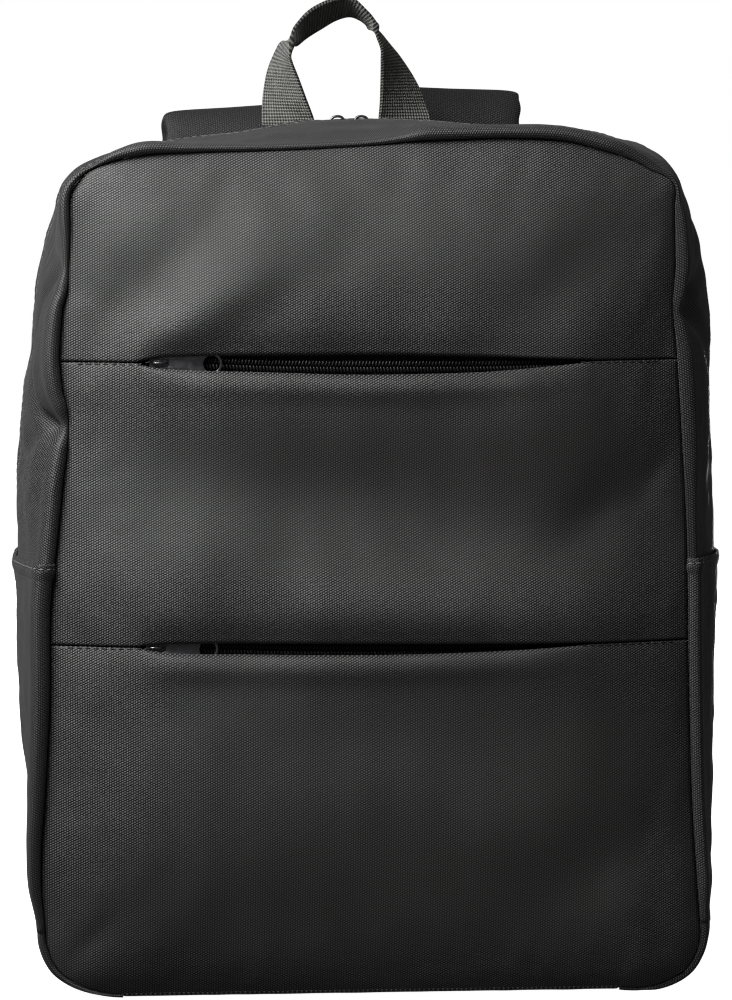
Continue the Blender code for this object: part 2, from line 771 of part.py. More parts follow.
def make_pull(name, frame):
    """A pull tab along +X from its pivot at the origin, with an eye and a ring hole."""
    curve = bpy.data.curves.new(name, "CURVE")
    curve.dimensions = "2D"
    curve.fill_mode = "BOTH"
    curve.extrude = PULL_WALL / 2
    half = PULL_WIDTH / 2
    tab = rounded_outline((-PULL_EYE_BAR, -half), (PULL_LENGTH, half), PULL_END_ROUNDING, 4)
    flat_loop(curve, tab)
    eye_half = PULL_EYE_WIDTH / 2
    eye_end = (PULL_EYE_BAR + PULL_EYE_LENGTH, eye_half)
    eye = rounded_outline((PULL_EYE_BAR, -eye_half), eye_end, PULL_EYE_ROUNDING, 2)
    flat_loop(curve, eye)
    ring_x = PULL_LENGTH - half
    ring = []
    for step in range(12):
        angle = math.tau * step / 12
        ring.append(
            (ring_x + PULL_RING_RADIUS * math.cos(angle), PULL_RING_RADIUS * math.sin(angle))
        )
    flat_loop(curve, ring)
    curve.materials.append(METAL)
    made = bpy.data.objects.new(name, curve)
    BAG.objects.link(made)
    made.matrix_world = frame
    return made


def frame_matrix(origin, along, outward):
    """A placing matrix: local X along the chain, local Z out from its coil."""
    x_axis = Vector(along).normalized()
    z_axis = Vector(outward)
    z_axis = (z_axis - x_axis * z_axis.dot(x_axis)).normalized()
    y_axis = z_axis.cross(x_axis)
    turned = Matrix((x_axis, y_axis, z_axis)).transposed().to_4x4()
    return Matrix.Translation(Vector(origin)) @ turned


def make_slider_and_pull(prefix, on_coil, along, outward):
    """A slider on its coil and a pull lying along the chain from the slider's bridge."""
    outward = Vector(outward).normalized()
    seat = Vector(on_coil) + outward * TOUCH_GAP
    make_slider(prefix + "_slider", frame_matrix(seat, along, outward))
    pivot = seat + outward * (SLIDER_PLATE + PIVOT_ABOVE_PLATE)
    make_pull(prefix + "_pull", frame_matrix(pivot, along, outward))


def make_front_pull(prefix, x, row, gape, gape_rows):
    ends = np.array([x, x + PULL_LENGTH])
    z = front_zip_middle(ends, row, gape, gape_rows)
    y = front_zip_y(ends, z)
    along = (ends[1] - ends[0], y[1] - y[0], z[1] - z[0])
    make_slider_and_pull(prefix, (x, y[0], z[0]), along, (0, -1, 0))


def make_main_pulls():
    for prefix, side in (("main_zip_left", -1), ("main_zip_right", 1)):
        x = MAIN_SLIDER_X + side * MAIN_SLIDER_APART / 2
        crest = SEAM[:, 0] + SEAM_NORMALS[:, 0] * bulge()
        height = SEAM[:, 1] + SEAM_NORMALS[:, 1] * (bulge() + SEWN_GAP - MAIN_ZIP_SUNK)
        top = slice(TOP_CORNER_ROW, LAST - TOP_CORNER_ROW + 1)
        ends = np.array([x, x + side * PULL_LENGTH])
        z = np.interp(ends, crest[top], height[top])
        along = (ends[1] - ends[0], 0, z[1] - z[0])
        make_slider_and_pull(prefix, (x, MAIN_ZIP_Y, z[0]), along, (0, 0, 1))


def make_side_pocket(name, left_side):
    """A slip pocket over the lower side, from the lip's crest to the back seam."""
    extra = POCKET_WALL + TOUCH_GAP
    front = front_gusset_grid(extra)
    back = back_gusset_grid(extra)
    grid = np.concatenate([front[:, 2:], back[:, 1:]], axis=1)
    heights = SEAM[:, 1]
    half = len(SEAM) // 2
    rows = slice(0, half) if left_side else slice(half, len(SEAM))
    order = 1 if left_side else -1
    known = heights[rows][::order]
    source = grid[rows][::order]
    between = known[(known > POCKET_FOOT_Z) & (known < POCKET_HEM_Z)]
    wanted = np.concatenate([[POCKET_FOOT_Z], between, [POCKET_HEM_Z]])
    made = np.empty((len(wanted), *grid.shape[1:]))
    for j in range(grid.shape[1]):
        for k in range(3):
            made[:, j, k] = np.interp(wanted, known, source[:, j, k])
    cloth(name, made, POCKET_WALL, CLOTH, turn=left_side)


def make_base():
    """The flat bottom between the lower ends of the gussets."""
    ends = (SEAM[0, 0] + SEWN_GAP, SEAM[-1, 0] - SEWN_GAP)
    x = np.linspace(ends[0], ends[1], 2 * HALF_TOP_STEPS + 1)
    lift = SEAM_BASE
    front_edge = FRONT_SEAM_Y + PANEL_WALL + SEWN_GAP
    sections = (
        (front_edge, lift),
        (front_edge + lift, 0.0),
        (BACK_SEAM_Y - lift, 0.0),
        (BACK_SEAM_Y, lift),
    )
    columns = []
    for y, z in sections:
        columns.append(np.stack([x, np.full_like(x, y), np.full_like(x, z)], axis=1))
    cloth("base_panel", np.stack(columns, axis=1), BASE_WALL, CLOTH)


def make_back_panel():
    """The padded back, crowned outward, closing the bag between the back gusset's edges."""
    edge = SEAM + SEAM_NORMALS * (back_seam_reach() - SEWN_GAP)[:, None]
    top = edge[TOP_CORNER_ROW : LAST - TOP_CORNER_ROW + 1]
    base_x = np.linspace(edge[0, 0], edge[-1, 0], 2 * HALF_TOP_STEPS + 1)
    base = np.stack([base_x, np.full_like(base_x, SEAM_BASE)], axis=1)
    left_corner = edge[HALF_CORNER:0:-1]
    right_corner = edge[LAST - 1 : LAST - HALF_CORNER - 1 : -1]
    bottom = np.vstack([left_corner, base, right_corner])
    left = edge[HALF_CORNER : TOP_CORNER_ROW + 1][::2]
    right = edge[LAST - TOP_CORNER_ROW : LAST - HALF_CORNER + 1][::-1][::2]
    flat = coons(left, right, bottom, top)
    flat[..., 1] = np.maximum(flat[..., 1], SEAM_BASE)
    x, z = flat[..., 0], flat[..., 1]
    depth = np.clip(seam_distance(x, z) / (4 * BACK_PAD), 0, 1)
    crown = BACK_PAD_EDGE + (BACK_PAD - BACK_PAD_EDGE) * np.sin(depth * math.pi / 2)
    rows, columns = x.shape
    y_inner = np.full_like(x, BACK_SEAM_Y + SEWN_GAP)
    inner = np.stack([x, y_inner, z], axis=-1).reshape(-1, 3)
    outer = np.stack([x, y_inner + crown, z], axis=-1).reshape(-1, 3)
    count = rows * columns
    faces = []
    for i in range(rows - 1):
        for j in range(columns - 1):
            a = i * columns + j
            quad = [a, a + 1, a + columns + 1, a + columns]
            faces.append(quad)
            faces.append([count + v for v in quad[::-1]])
    rim = [j for j in range(columns)]
    rim += [i * columns + columns - 1 for i in range(1, rows)]
    rim += [(rows - 1) * columns + j for j in range(columns - 2, -1, -1)]
    rim += [i * columns for i in range(rows - 2, 0, -1)]
    for a, b in zip(rim, rim[1:] + rim[:1]):
        faces.append([b, a, count + a, count + b])
    mesh_object("back_panel", np.vstack([inner, outer]), faces, MESH_CLOTH)


def strip_rings(centres, widthwise, half_widths, walls):
    """Rings of four corners for webbing: its middle line, width directions and sizes."""
    centres = np.asarray(centres)
    tangents = np.gradient(centres, axis=0)
    tangents /= np.linalg.norm(tangents, axis=1)[:, None]
    widthwise = np.asarray(widthwise)
    widthwise = widthwise - (widthwise * tangents).sum(axis=1)[:, None] * tangents
    widthwise /= np.linalg.norm(widthwise, axis=1)[:, None]
    out = np.cross(tangents, widthwise)
    half = np.asarray(half_widths)[:, None] * widthwise
    thick = 0.5 * np.asarray(walls)[:, None] * out
    corners = (half + thick, half - thick, -half - thick, -half + thick)
    return np.stack([centres + corner for corner in corners], axis=1)


def top_surface_z(x, y):
    """Height of the back gusset's outer face over the top at a place."""
    share = (y - MAIN_ZIP_Y) / (BACK_SEAM_Y - MAIN_ZIP_Y)
    in_share = np.interp(share, column(BACK_GUSSET_ROWS, 0), column(BACK_GUSSET_ROWS, 1))
    reach = bulge() + in_share * (back_seam_reach() - bulge()) + SEWN_GAP
    flat = SEAM + SEAM_NORMALS * reach[:, None]
    top = slice(TOP_CORNER_ROW - 1, LAST - TOP_CORNER_ROW + 2)
    return np.interp(x, flat[top, 0], flat[top, 1])


def foot_height(low_x, high_x):
    """Height that clears the back gusset's top under one leg of the handle."""
    x = np.linspace(low_x, high_x, 9)
    surface = top_surface_z(x, HANDLE_FOOT_Y - 2 * WEBBING_WALL)
    return surface.max() + TOUCH_GAP


def make_handle():
    rows = smooth_rows(HANDLE_ROWS, 2)
    outer_x = HARNESS_SHIFT + rows[:, 0] * HANDLE_HALF_SPAN
    inner_x = HARNESS_SHIFT + rows[:, 2] * HANDLE_HALF_SPAN
    left_foot = foot_height(outer_x[0], inner_x[0])
    right_foot = foot_height(inner_x[-1], outer_x[-1])
    share = np.clip((rows[:, 0] + 1) / 2, 0, 1)
    foot = left_foot + (right_foot - left_foot) * share
    outer_z = foot + rows[:, 1] * HANDLE_HEIGHT
    inner_z = foot + rows[:, 3] * HANDLE_HEIGHT
    seen = np.hypot(outer_x - inner_x, outer_z - inner_z)
    lean = np.sqrt(np.maximum(WEBBING_WIDTH**2 - seen**2, 0)) / 2
    outer = np.stack([outer_x, HANDLE_FOOT_Y - lean, outer_z], axis=1)
    inner = np.stack([inner_x, HANDLE_FOOT_Y + lean, inner_z], axis=1)
    centres = (outer + inner) / 2
    widths = np.linalg.norm(outer - inner, axis=1) / 2
    rings = strip_rings(centres, inner - outer, widths, np.full(len(centres), WEBBING_WALL))
    for i in (0, -1):
        rings[i, :, 2] = foot[i]
    band("carry_handle", rings, WEBBING)


def strap_line(side):
    """Middle points, half widths and thicknesses of one shoulder strap."""
    rows = smooth_rows(STRAP_ROWS, 2)
    back = BACK_SEAM_Y + SEWN_GAP + BACK_PAD
    y = back + rows[:, 0] * STRAP_BOW
    z = STRAP_END_Z + rows[:, 1] * (STRAP_RISE - STRAP_PAD / 2 - STRAP_END_Z)
    x_top = HARNESS_SHIFT + side * STRAP_SPACING
    x = x_top + rows[:, 2] * (side * STRAP_END_X - x_top)
    half = STRAP_HALF_WIDTH + rows[:, 3] * (STRAP_END_HALF_WIDTH - STRAP_HALF_WIDTH)
    pad = np.maximum(rows[:, 4], 0.15) * STRAP_PAD
    return np.stack([x, y, z], axis=1), half, pad


def padded_rings(centres, half_widths, pads):
    """Rings of eight points: a strip with rounded edges, flat across X."""
    tangents = np.gradient(centres, axis=0)
    tangents /= np.linalg.norm(tangents, axis=1)[:, None]
    across = np.tile((1.0, 0.0, 0.0), (len(centres), 1))
    across -= (across * tangents).sum(axis=1)[:, None] * tangents
    across /= np.linalg.norm(across, axis=1)[:, None]
    out = np.cross(tangents, across)
    shape = ((1, 0.25), (0.86, 0.5), (-0.86, 0.5), (-1, 0.25))
    shape += tuple((-x, -y) for x, y in shape)
    rings = []
    for x, y in shape:
        rings.append(
            centres
            + x * half_widths[:, None] * across
            + y * pads[:, None] * out
        )
    return np.stack(rings, axis=1)


def make_strap(name, side):
    centres, half, pad = strap_line(side)
    band(name + "_shoulder_strap", padded_rings(centres, half, pad), CLOTH)
    lower = centres[-1]
    heading = centres[-1] - centres[-2]
    heading /= np.linalg.norm(heading)
    make_buckle(name + "_strap_buckle", lower, heading)
    make_strap_webbing(name + "_strap_webbing", side, lower, heading)


def buckle_axes(heading):
    down = Vector(heading)
    across = Vector((1, 0, 0))
    across = (across - down * across.dot(down)).normalized()
    return across, down, across.cross(down)


def make_buckle(name, strap_end, heading):
    """A ladder-lock: a flat frame with two slots, its upper bar just below the strap."""
    curve = bpy.data.curves.new(name, "CURVE")
    curve.dimensions = "2D"
    curve.fill_mode = "BOTH"
    curve.extrude = BUCKLE_WALL / 2
    half = BUCKLE_WIDTH / 2
    slot_half = BUCKLE_SLOT_HALF_WIDTH
    flat_loop(curve, rounded_outline((0, -half), (BUCKLE_HEIGHT, half), BUCKLE_ROUNDING, 3))
    bar = (BUCKLE_HEIGHT - 2 * BUCKLE_SLOT) / 3
    for index in range(2):
        low = (bar + index * (BUCKLE_SLOT + bar), -slot_half)
        high = (low[0] + BUCKLE_SLOT, slot_half)
        flat_loop(curve, rounded_outline(low, high, BUCKLE_SLOT_ROUNDING, 2))
    curve.materials.append(PLASTIC)
    made = bpy.data.objects.new(name, curve)
    BAG.objects.link(made)
    across, down, out = buckle_axes(heading)
    start = Vector(strap_end) + down * TOUCH_GAP
    made.matrix_world = frame_matrix(start, down, out)


def make_strap_webbing(name, side, strap_end, heading):
    """Webbing from the base anchor up through the ladder-lock's lower slot to a short end."""
    across, down, out = buckle_axes(heading)
    bar = (BUCKLE_HEIGHT - 2 * BUCKLE_SLOT) / 3
    bar_edge = Vector(strap_end) + down * (TOUCH_GAP + 2 * bar + 2 * BUCKLE_SLOT)
    behind = BUCKLE_WALL / 2 + WEBBING_WALL / 2 + TOUCH_GAP
    anchor_y = BACK_SEAM_Y + SEWN_GAP + BACK_PAD_EDGE + BACK_PAD / 2 + WEBBING_WALL
    anchor = Vector((side * ANCHOR_X, anchor_y, ANCHOR_Z))
    inner = out if out.y < 0 else -out
    lower = bar_edge + down * (bar + BUCKLE_SLOT) + inner * behind
    middle = (lower + anchor) / 2 + Vector((0, BACK_PAD / 2, 0))
    line = [Vector(p) for p in smooth_rows([anchor, middle, lower], 4)]
    for step in range(7):
        angle = math.pi * step / 6
        turn = inner * math.cos(angle) - down * math.sin(angle)
        line.append(bar_edge + turn * behind)
    line.append(bar_edge + down * BUCKLE_HEIGHT - inner * behind)
    line = np.array([tuple(p) for p in line])
    widths = np.full(len(line), STRAP_WEBBING_HALF_WIDTH)
    walls = np.full(len(line), STRAP_WEBBING_WALL)
    widthwise = np.tile(tuple(across), (len(line), 1))
    band(name, strip_rings(line, widthwise, widths, walls), BLACK_WEBBING)


def make_bag():
    make_front_panels()
    make_gussets()
    make_main_zip()
    make_front_zip("upper_zip", UPPER_ZIP_ROW, UPPER_ZIP_GAPE, UPPER_GAPE_ROWS)
    make_front_zip("lower_zip", LOWER_ZIP_ROW, LOWER_ZIP_GAPE, LOWER_GAPE_ROWS)
    make_front_pull("upper_zip", UPPER_SLIDER_X, UPPER_ZIP_ROW, UPPER_ZIP_GAPE, UPPER_GAPE_ROWS)
    make_front_pull("lower_zip", LOWER_SLIDER_X, LOWER_ZIP_ROW, LOWER_ZIP_GAPE, LOWER_GAPE_ROWS)
    make_main_pulls()
    make_side_pocket("left_side_pocket", True)
    make_side_pocket("right_side_pocket", False)
    make_base()
    make_back_panel()
    make_handle()
    make_strap("left", -1)
    make_strap("right", 1)


clear_scene()
BAG = new_collection("laptop_backpack")
CUTTERS = new_collection("cutters")
CLOTH = new_material("coated_fabric", BLACK_CLOTH, 0.5)
MESH_CLOTH = new_material("back_mesh", BLACK_MESH, 0.8)
WEBBING = new_material("grey_webbing", GREY_WEBBING, 0.8)
BLACK_WEBBING = new_material("black_webbing", BLACK_MESH, 0.7)
ZIP = new_material("zip_chain", ZIP_BLACK, 0.6)
METAL = new_material("pull_metal", GUNMETAL, 0.35, 1.0)
PLASTIC = new_material("buckle_plastic", BLACK_PLASTIC, 0.4)
make_bag()
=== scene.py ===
"""Looks of the laptop backpack: sewn cloth, zips, webbing, straps, floor, light and camera.

Metres. +Z is up, the front faces -Y. Every cloth piece repeats the part's outline and
section tables at a finer step, with folds, rolled edges, weave and stitches.
"""

import math

import bmesh
import bpy
import numpy as np
from mathutils import Matrix, Vector


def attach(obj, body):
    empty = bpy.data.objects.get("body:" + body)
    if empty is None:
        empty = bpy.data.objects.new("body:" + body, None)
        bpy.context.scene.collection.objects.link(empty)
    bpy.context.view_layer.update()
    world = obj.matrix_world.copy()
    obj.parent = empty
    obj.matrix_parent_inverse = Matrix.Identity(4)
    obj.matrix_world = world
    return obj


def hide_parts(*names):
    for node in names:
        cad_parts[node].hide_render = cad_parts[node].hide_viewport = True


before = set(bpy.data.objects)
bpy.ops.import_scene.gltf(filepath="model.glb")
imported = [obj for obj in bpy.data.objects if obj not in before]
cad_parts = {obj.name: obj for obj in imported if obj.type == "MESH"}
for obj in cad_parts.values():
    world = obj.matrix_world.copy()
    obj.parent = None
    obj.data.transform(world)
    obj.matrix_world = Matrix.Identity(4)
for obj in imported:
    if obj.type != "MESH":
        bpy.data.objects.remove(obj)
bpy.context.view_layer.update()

# Sizes of the part that the cloth follows
PANEL_WALL = 0.0026
GUSSET_WALL = 0.0012
POCKET_WALL = 0.0012
SEWN_GAP = 0.0004
TOUCH_GAP = 0.0003
SEAM_HEIGHT = 0.3715
SEAM_BASE = 0.0025
SEAM_HALF_WIDTH_LOW = 0.1455
SEAM_HALF_WIDTH_HIGH = 0.1308
TOP_CORNER_RUN = 0.060
TOP_CORNER_DROP = 0.024
BASE_CORNER_RUN = 0.035
BASE_CORNER_RISE = 0.025
TOP_LEAN = 0.035
FRONT_SEAM_Y = -0.052
BACK_SEAM_Y = 0.050
BULGE = 0.018
LIP_WIDTH = 0.0062
LIP_HEIGHT = 0.0048
MAIN_ZIP_Y = -0.003
MAIN_ZIP_HALF_OPENING = 0.0052
MAIN_ZIP_SUNK = 0.0026
MAIN_ZIP_END = 0.222
MAIN_TAPE_HALF_WIDTH = 0.0072
TOPSTITCH_INSET = 0.0034
FRONT_GUSSET_DEPTH = 0.049
BACK_GUSSET_DEPTH = 0.048
ZIP_EDGE_ROLL = 0.0014
BACK_EDGE_ROLL = 0.003
EDGE_ROLL = 0.0075
EDGE_ROLL_REACH = 0.011
CROWN = 0.0115
CROWN_REACH = 0.042
TIER_TUCK = 0.0030
TUCK_REACH_BELOW = 0.010
TUCK_REACH_ABOVE = 0.022
HEM_ROLL = 0.0011
HEM_ROLL_AT_GAPE = 0.0016
LOWER_HEM_SINK = 0.0042
LOWER_HEM_REACH = 0.0075
UPPER_HEM_SWELL = 0.0022
UPPER_HEM_REACH = 0.006
FOLD_DEPTH = 0.0030
UPPER_ZIP_Z = 0.2790
UPPER_ZIP_GAPE = 0.0080
LOWER_ZIP_Z = 0.1552
LOWER_ZIP_GAPE = 0.0044
ZIP_OPENING_LEFT = -0.103
ZIP_OPENING_RIGHT = 0.096
ZIP_BEHIND = 0.0066
COIL_HALF_WIDTH = 0.0026
COIL_HEIGHT = 0.0018
COIL_PITCH = 0.00145
TAPE_WALL = 0.0007
FRONT_TAPE_HALF_WIDTH = 0.0088
FRONT_TAPE_PAST_LEFT = 0.028
FRONT_TAPE_PAST_RIGHT = 0.030
COIL_PAST_OPENING = 0.004
POCKET_HEM_Z = 0.191
POCKET_HEM_FRONT_Z = 0.1915
POCKET_FOOT_Z = 0.030
POCKET_EASE = 0.0006
POCKET_SEWN_RUN = 0.020
HEM_HEIGHT = 0.0034
HEM_MIDDLE = 0.0032
HEM_RISE = 0.0007
HEM_STITCH_BELOW = 0.0024
BASE_WALL = 0.0045
BACK_PAD = 0.0065
BACK_PAD_EDGE = 0.0030
BACK_SHARE_OF_BULGE = 0.45
PAD_ROUNDING = 0.024
PAD_LEAST_WALL = 0.0016
CHANNEL_DEPTH = 0.0052
CHANNEL_HALF_WIDTH = 0.0045
CHANNEL_HEIGHTS = (0.120, 0.235)
MIDDLE_CHANNEL_HALF_WIDTH = 0.010
BORDER_INSET = 0.018
BORDER_HALF_WIDTH = 0.0022
WEBBING_WIDTH = 0.0248
WEBBING_WALL = 0.0015
HARNESS_SHIFT = -0.0035
HANDLE_HALF_SPAN = 0.0380
HANDLE_HEIGHT = 0.0567
HANDLE_FOOT_Y = 0.0375
STRAP_HALF_WIDTH = 0.0325
STRAP_SPACING = 0.0480
STRAP_PAD = 0.0080
STRAP_RISE = 0.3935
STRAP_BOW = 0.046
STRAP_END_X = 0.092
STRAP_END_Z = 0.128
STRAP_END_HALF_WIDTH = 0.0150
STRAP_GROOVE_SHARE = 0.87
BUCKLE_WIDTH = 0.0340
BUCKLE_HEIGHT = 0.0260
BUCKLE_WALL = 0.0034
BUCKLE_SLOT = 0.0060
BUCKLE_SLOT_HALF_WIDTH = 0.0145
ANCHOR_X = 0.118
ANCHOR_Z = 0.030
STRAP_WEBBING_HALF_WIDTH = 0.0123
STRAP_WEBBING_WALL = 0.0012

# One repeat of the coated cloth's weave
WEAVE_ACROSS = 0.00207
WEAVE_UP = 0.00110

# The open mesh: twice the spacing of its holes across and up, and spacing of its threads
MESH_ACROSS = 0.0038
MESH_UP = 0.0050
MESH_THREAD = 0.0007

# Stitches: length, gap between two, radius
TOPSTITCH = (0.0024, 0.0013, 0.00016)
HEM_STITCH = (0.0024, 0.0012, 0.00032)
ZIP_END_STITCH = (0.0026, 0.0012, 0.00024)
STRAP_STITCH = (0.0028, 0.0012, 0.00030)

# What differs between the two shoulder straps at the top: shift to +X, how much narrower,
# rise, and tilt of the section
STRAP_SIDES = {
    -1: (0.0, 0.0, -0.0052, 0.066),
    1: (0.0014, 0.0012, 0.0030, -0.038),
}

# Fineness of the cloth meshes
SEAM_POINTS = 561
SECTION_STEPS = 5
PANEL_COLUMNS = 190

# Bulge of the gusset past the seam: share of the way round, share of BULGE
BULGE_ROWS = (
    (0.000, 0.03),
    (0.068, 0.03),
    (0.102, 0.25),
    (0.137, 0.54),
    (0.190, 0.76),
    (0.240, 0.95),
    (0.275, 0.88),
    (0.300, 0.69),
    (0.326, 0.64),
    (0.343, 0.48),
    (0.362, 0.22),
    (0.400, 0.25),
    (0.431, 0.34),
    (0.481, 0.62),
    (0.512, 0.56),
    (0.561, 0.31),
    (0.602, 0.27),
    (0.632, 0.52),
    (0.657, 0.86),
    (0.692, 1.09),
    (0.740, 1.04),
    (0.790, 1.00),
    (0.845, 0.79),
    (0.898, 0.60),
    (0.950, 0.44),
    (0.985, 0.22),
    (1.000, 0.05),
)

# Size of the rolled lip: share of the way round, share of LIP_WIDTH and LIP_HEIGHT
LIP_ROWS = (
    (0.0000, 0.10),
    (0.0300, 0.40),
    (0.0450, 0.50),
    (0.0580, 0.50),
    (0.0750, 0.70),
    (0.1500, 0.92),
    (0.2400, 1.00),
    (0.2580, 0.75),
    (0.2670, 0.12),
    (0.2760, 0.75),
    (0.2900, 1.00),
    (0.3100, 0.95),
    (0.3260, 0.60),
    (0.3350, 0.25),
    (0.3450, 0.45),
    (0.3580, 0.70),
    (0.3700, 0.55),
    (0.3780, 0.22),
    (0.3880, 0.65),
    (0.4000, 0.85),
    (0.4150, 0.60),
    (0.4300, 0.45),
    (0.4550, 0.30),
    (0.4900, 0.25),
    (0.5080, 0.45),
    (0.5200, 0.85),
    (0.5450, 0.80),
    (0.5780, 0.90),
    (0.6000, 0.85),
    (0.6180, 0.45),
    (0.6325, 0.15),
    (0.6450, 0.60),
    (0.6650, 0.75),
    (0.6800, 0.45),
    (0.6845, 0.20),
    (0.6920, 0.55),
    (0.7100, 0.85),
    (0.7400, 0.80),
    (0.7800, 0.50),
    (0.9000, 0.45),
    (0.9400, 0.45),
    (0.9700, 0.45),
    (1.0000, 0.10),
)

# How far the sewn edge strays from the seam's even curve: share of the way round, mm out
STRAY_ROWS = (
    (0.000, 0.3),
    (0.030, -0.2),
    (0.041, -1.7),
    (0.050, -1.2),
    (0.068, 1.1),
    (0.085, 1.8),
    (0.111, 1.0),
    (0.146, 0.6),
    (0.188, 1.8),
    (0.214, 0.2),
    (0.240, -1.4),
    (0.266, -3.1),
    (0.274, -2.3),
    (0.283, 0.2),
    (0.299, 2.1),
    (0.317, 1.5),
    (0.326, -0.4),
    (0.345, -0.5),
    (0.360, 0.2),
    (0.367, 2.6),
    (0.376, 4.2),
    (0.398, 2.7),
    (0.421, 0.3),
    (0.465, -0.2),
    (0.497, 0.4),
    (0.521, 1.6),
    (0.545, 1.6),
    (0.578, -0.1),
    (0.598, -2.2),
    (0.619, -2.5),
    (0.632, 1.7),
    (0.641, 0.8),
    (0.663, 0.4),
    (0.684, -1.4),
    (0.702, -0.6),
    (0.745, 0.4),
    (0.779, 0.9),
    (0.806, 0.4),
    (0.840, -0.5),
    (0.893, -1.1),
    (0.936, -0.1),
    (0.954, 0.6),
    (0.963, 1.8),
    (0.971, 3.0),
    (0.982, 2.6),
    (1.000, 0.3),
)

# Section of the front gusset: share of the way back, shares of bulge and of the lip
FRONT_GUSSET_ROWS = (
    # back, out, lip_out, lip_front
    (0.02, 0.00, -0.02, 0.00),
    (0.00, 0.00, 0.02, 0.34),
    (0.00, 0.01, 0.14, 0.74),
    (0.00, 0.03, 0.42, 0.98),
    (0.00, 0.05, 0.72, 0.88),
    (0.01, 0.09, 0.95, 0.46),
    (0.05, 0.15, 1.00, 0.00),
    (0.14, 0.34, 0.78, 0.00),
    (0.28, 0.62, 0.40, 0.00),
    (0.62, 0.93, 0.06, 0.00),
    (0.84, 0.99, 0.01, 0.00),
    (1.00, 1.00, 0.00, 0.00),
)
BACK_GUSSET_ROWS = (
    # back, in_share
    (0.00, 0.00),
    (0.16, 0.04),
    (0.35, 0.16),
    (0.55, 0.36),
    (0.72, 0.56),
    (0.90, 0.82),
    (1.00, 1.00),
)

# Folds of the gusset: metres along the seam from the left end of the base, metres back
# from the seam, long and short spreads, degrees from the along direction, depth
GUSSET_FOLD_ROWS = (
    # the crescent beside the left side's second lip
    (0.273, 0.008, 0.0090, 0.0034, 58.0, 0.0034),
    (0.281, 0.017, 0.0100, 0.0036, 40.0, 0.0026),
    (0.292, 0.023, 0.0120, 0.0040, 14.0, 0.0022),
    (0.306, 0.024, 0.0120, 0.0040, -6.0, 0.0020),
    (0.320, 0.020, 0.0110, 0.0038, -34.0, 0.0022),
    (0.331, 0.012, 0.0100, 0.0034, -52.0, 0.0030),
    (0.300, 0.013, 0.0220, 0.0065, 0.0, -0.0016),
    # the fold under the upper left lip, and soft ones below the pinch
    (0.345, 0.014, 0.0160, 0.0045, 60.0, 0.0026),
    (0.356, 0.030, 0.0220, 0.0070, 30.0, 0.0018),
    (0.392, 0.024, 0.0180, 0.0060, 64.0, 0.0016),
    (0.262, 0.020, 0.0200, 0.0055, -60.0, 0.0024),
    (0.240, 0.030, 0.0300, 0.0080, 24.0, 0.0014),
    (0.090, 0.016, 0.0180, 0.0045, 56.0, 0.0012),
    (0.070, 0.020, 0.0140, 0.0040, 80.0, 0.0012),
    # top, and the right side's diagonal fold
    (0.520, 0.026, 0.0400, 0.0080, 4.0, 0.0010),
    (0.640, 0.026, 0.0200, 0.0055, 100.0, 0.0014),
    (0.664, 0.022, 0.0200, 0.0045, -48.0, 0.0030),
    (0.684, 0.010, 0.0160, 0.0040, -58.0, 0.0034),
    (0.700, 0.010, 0.0160, 0.0042, 52.0, 0.0032),
    (0.716, 0.022, 0.0200, 0.0050, 42.0, 0.0020),
    (0.760, 0.026, 0.0340, 0.0080, 160.0, 0.0014),
    (0.940, 0.018, 0.0160, 0.0045, 112.0, 0.0014),
)

# Gape of a front zip: share of the opening, shares of the gape above and below
UPPER_GAPE_ROWS = (
    (0.00, 0.02, 0.02),
    (0.03, 0.16, 0.20),
    (0.07, 0.28, 0.32),
    (0.14, 0.31, 0.40),
    (0.26, 0.33, 0.48),
    (0.50, 0.34, 0.65),
    (0.73, 0.24, 0.56),
    (0.90, 0.10, 0.26),
    (1.00, 0.02, 0.02),
)
LOWER_GAPE_ROWS = (
    (0.00, 0.04, 0.04),
    (0.04, 0.16, 0.36),
    (0.08, 0.22, 0.56),
    (0.13, 0.22, 0.66),
    (0.50, 0.16, 0.82),
    (0.74, 0.10, 0.62),
    (1.00, 0.04, 0.04),
)

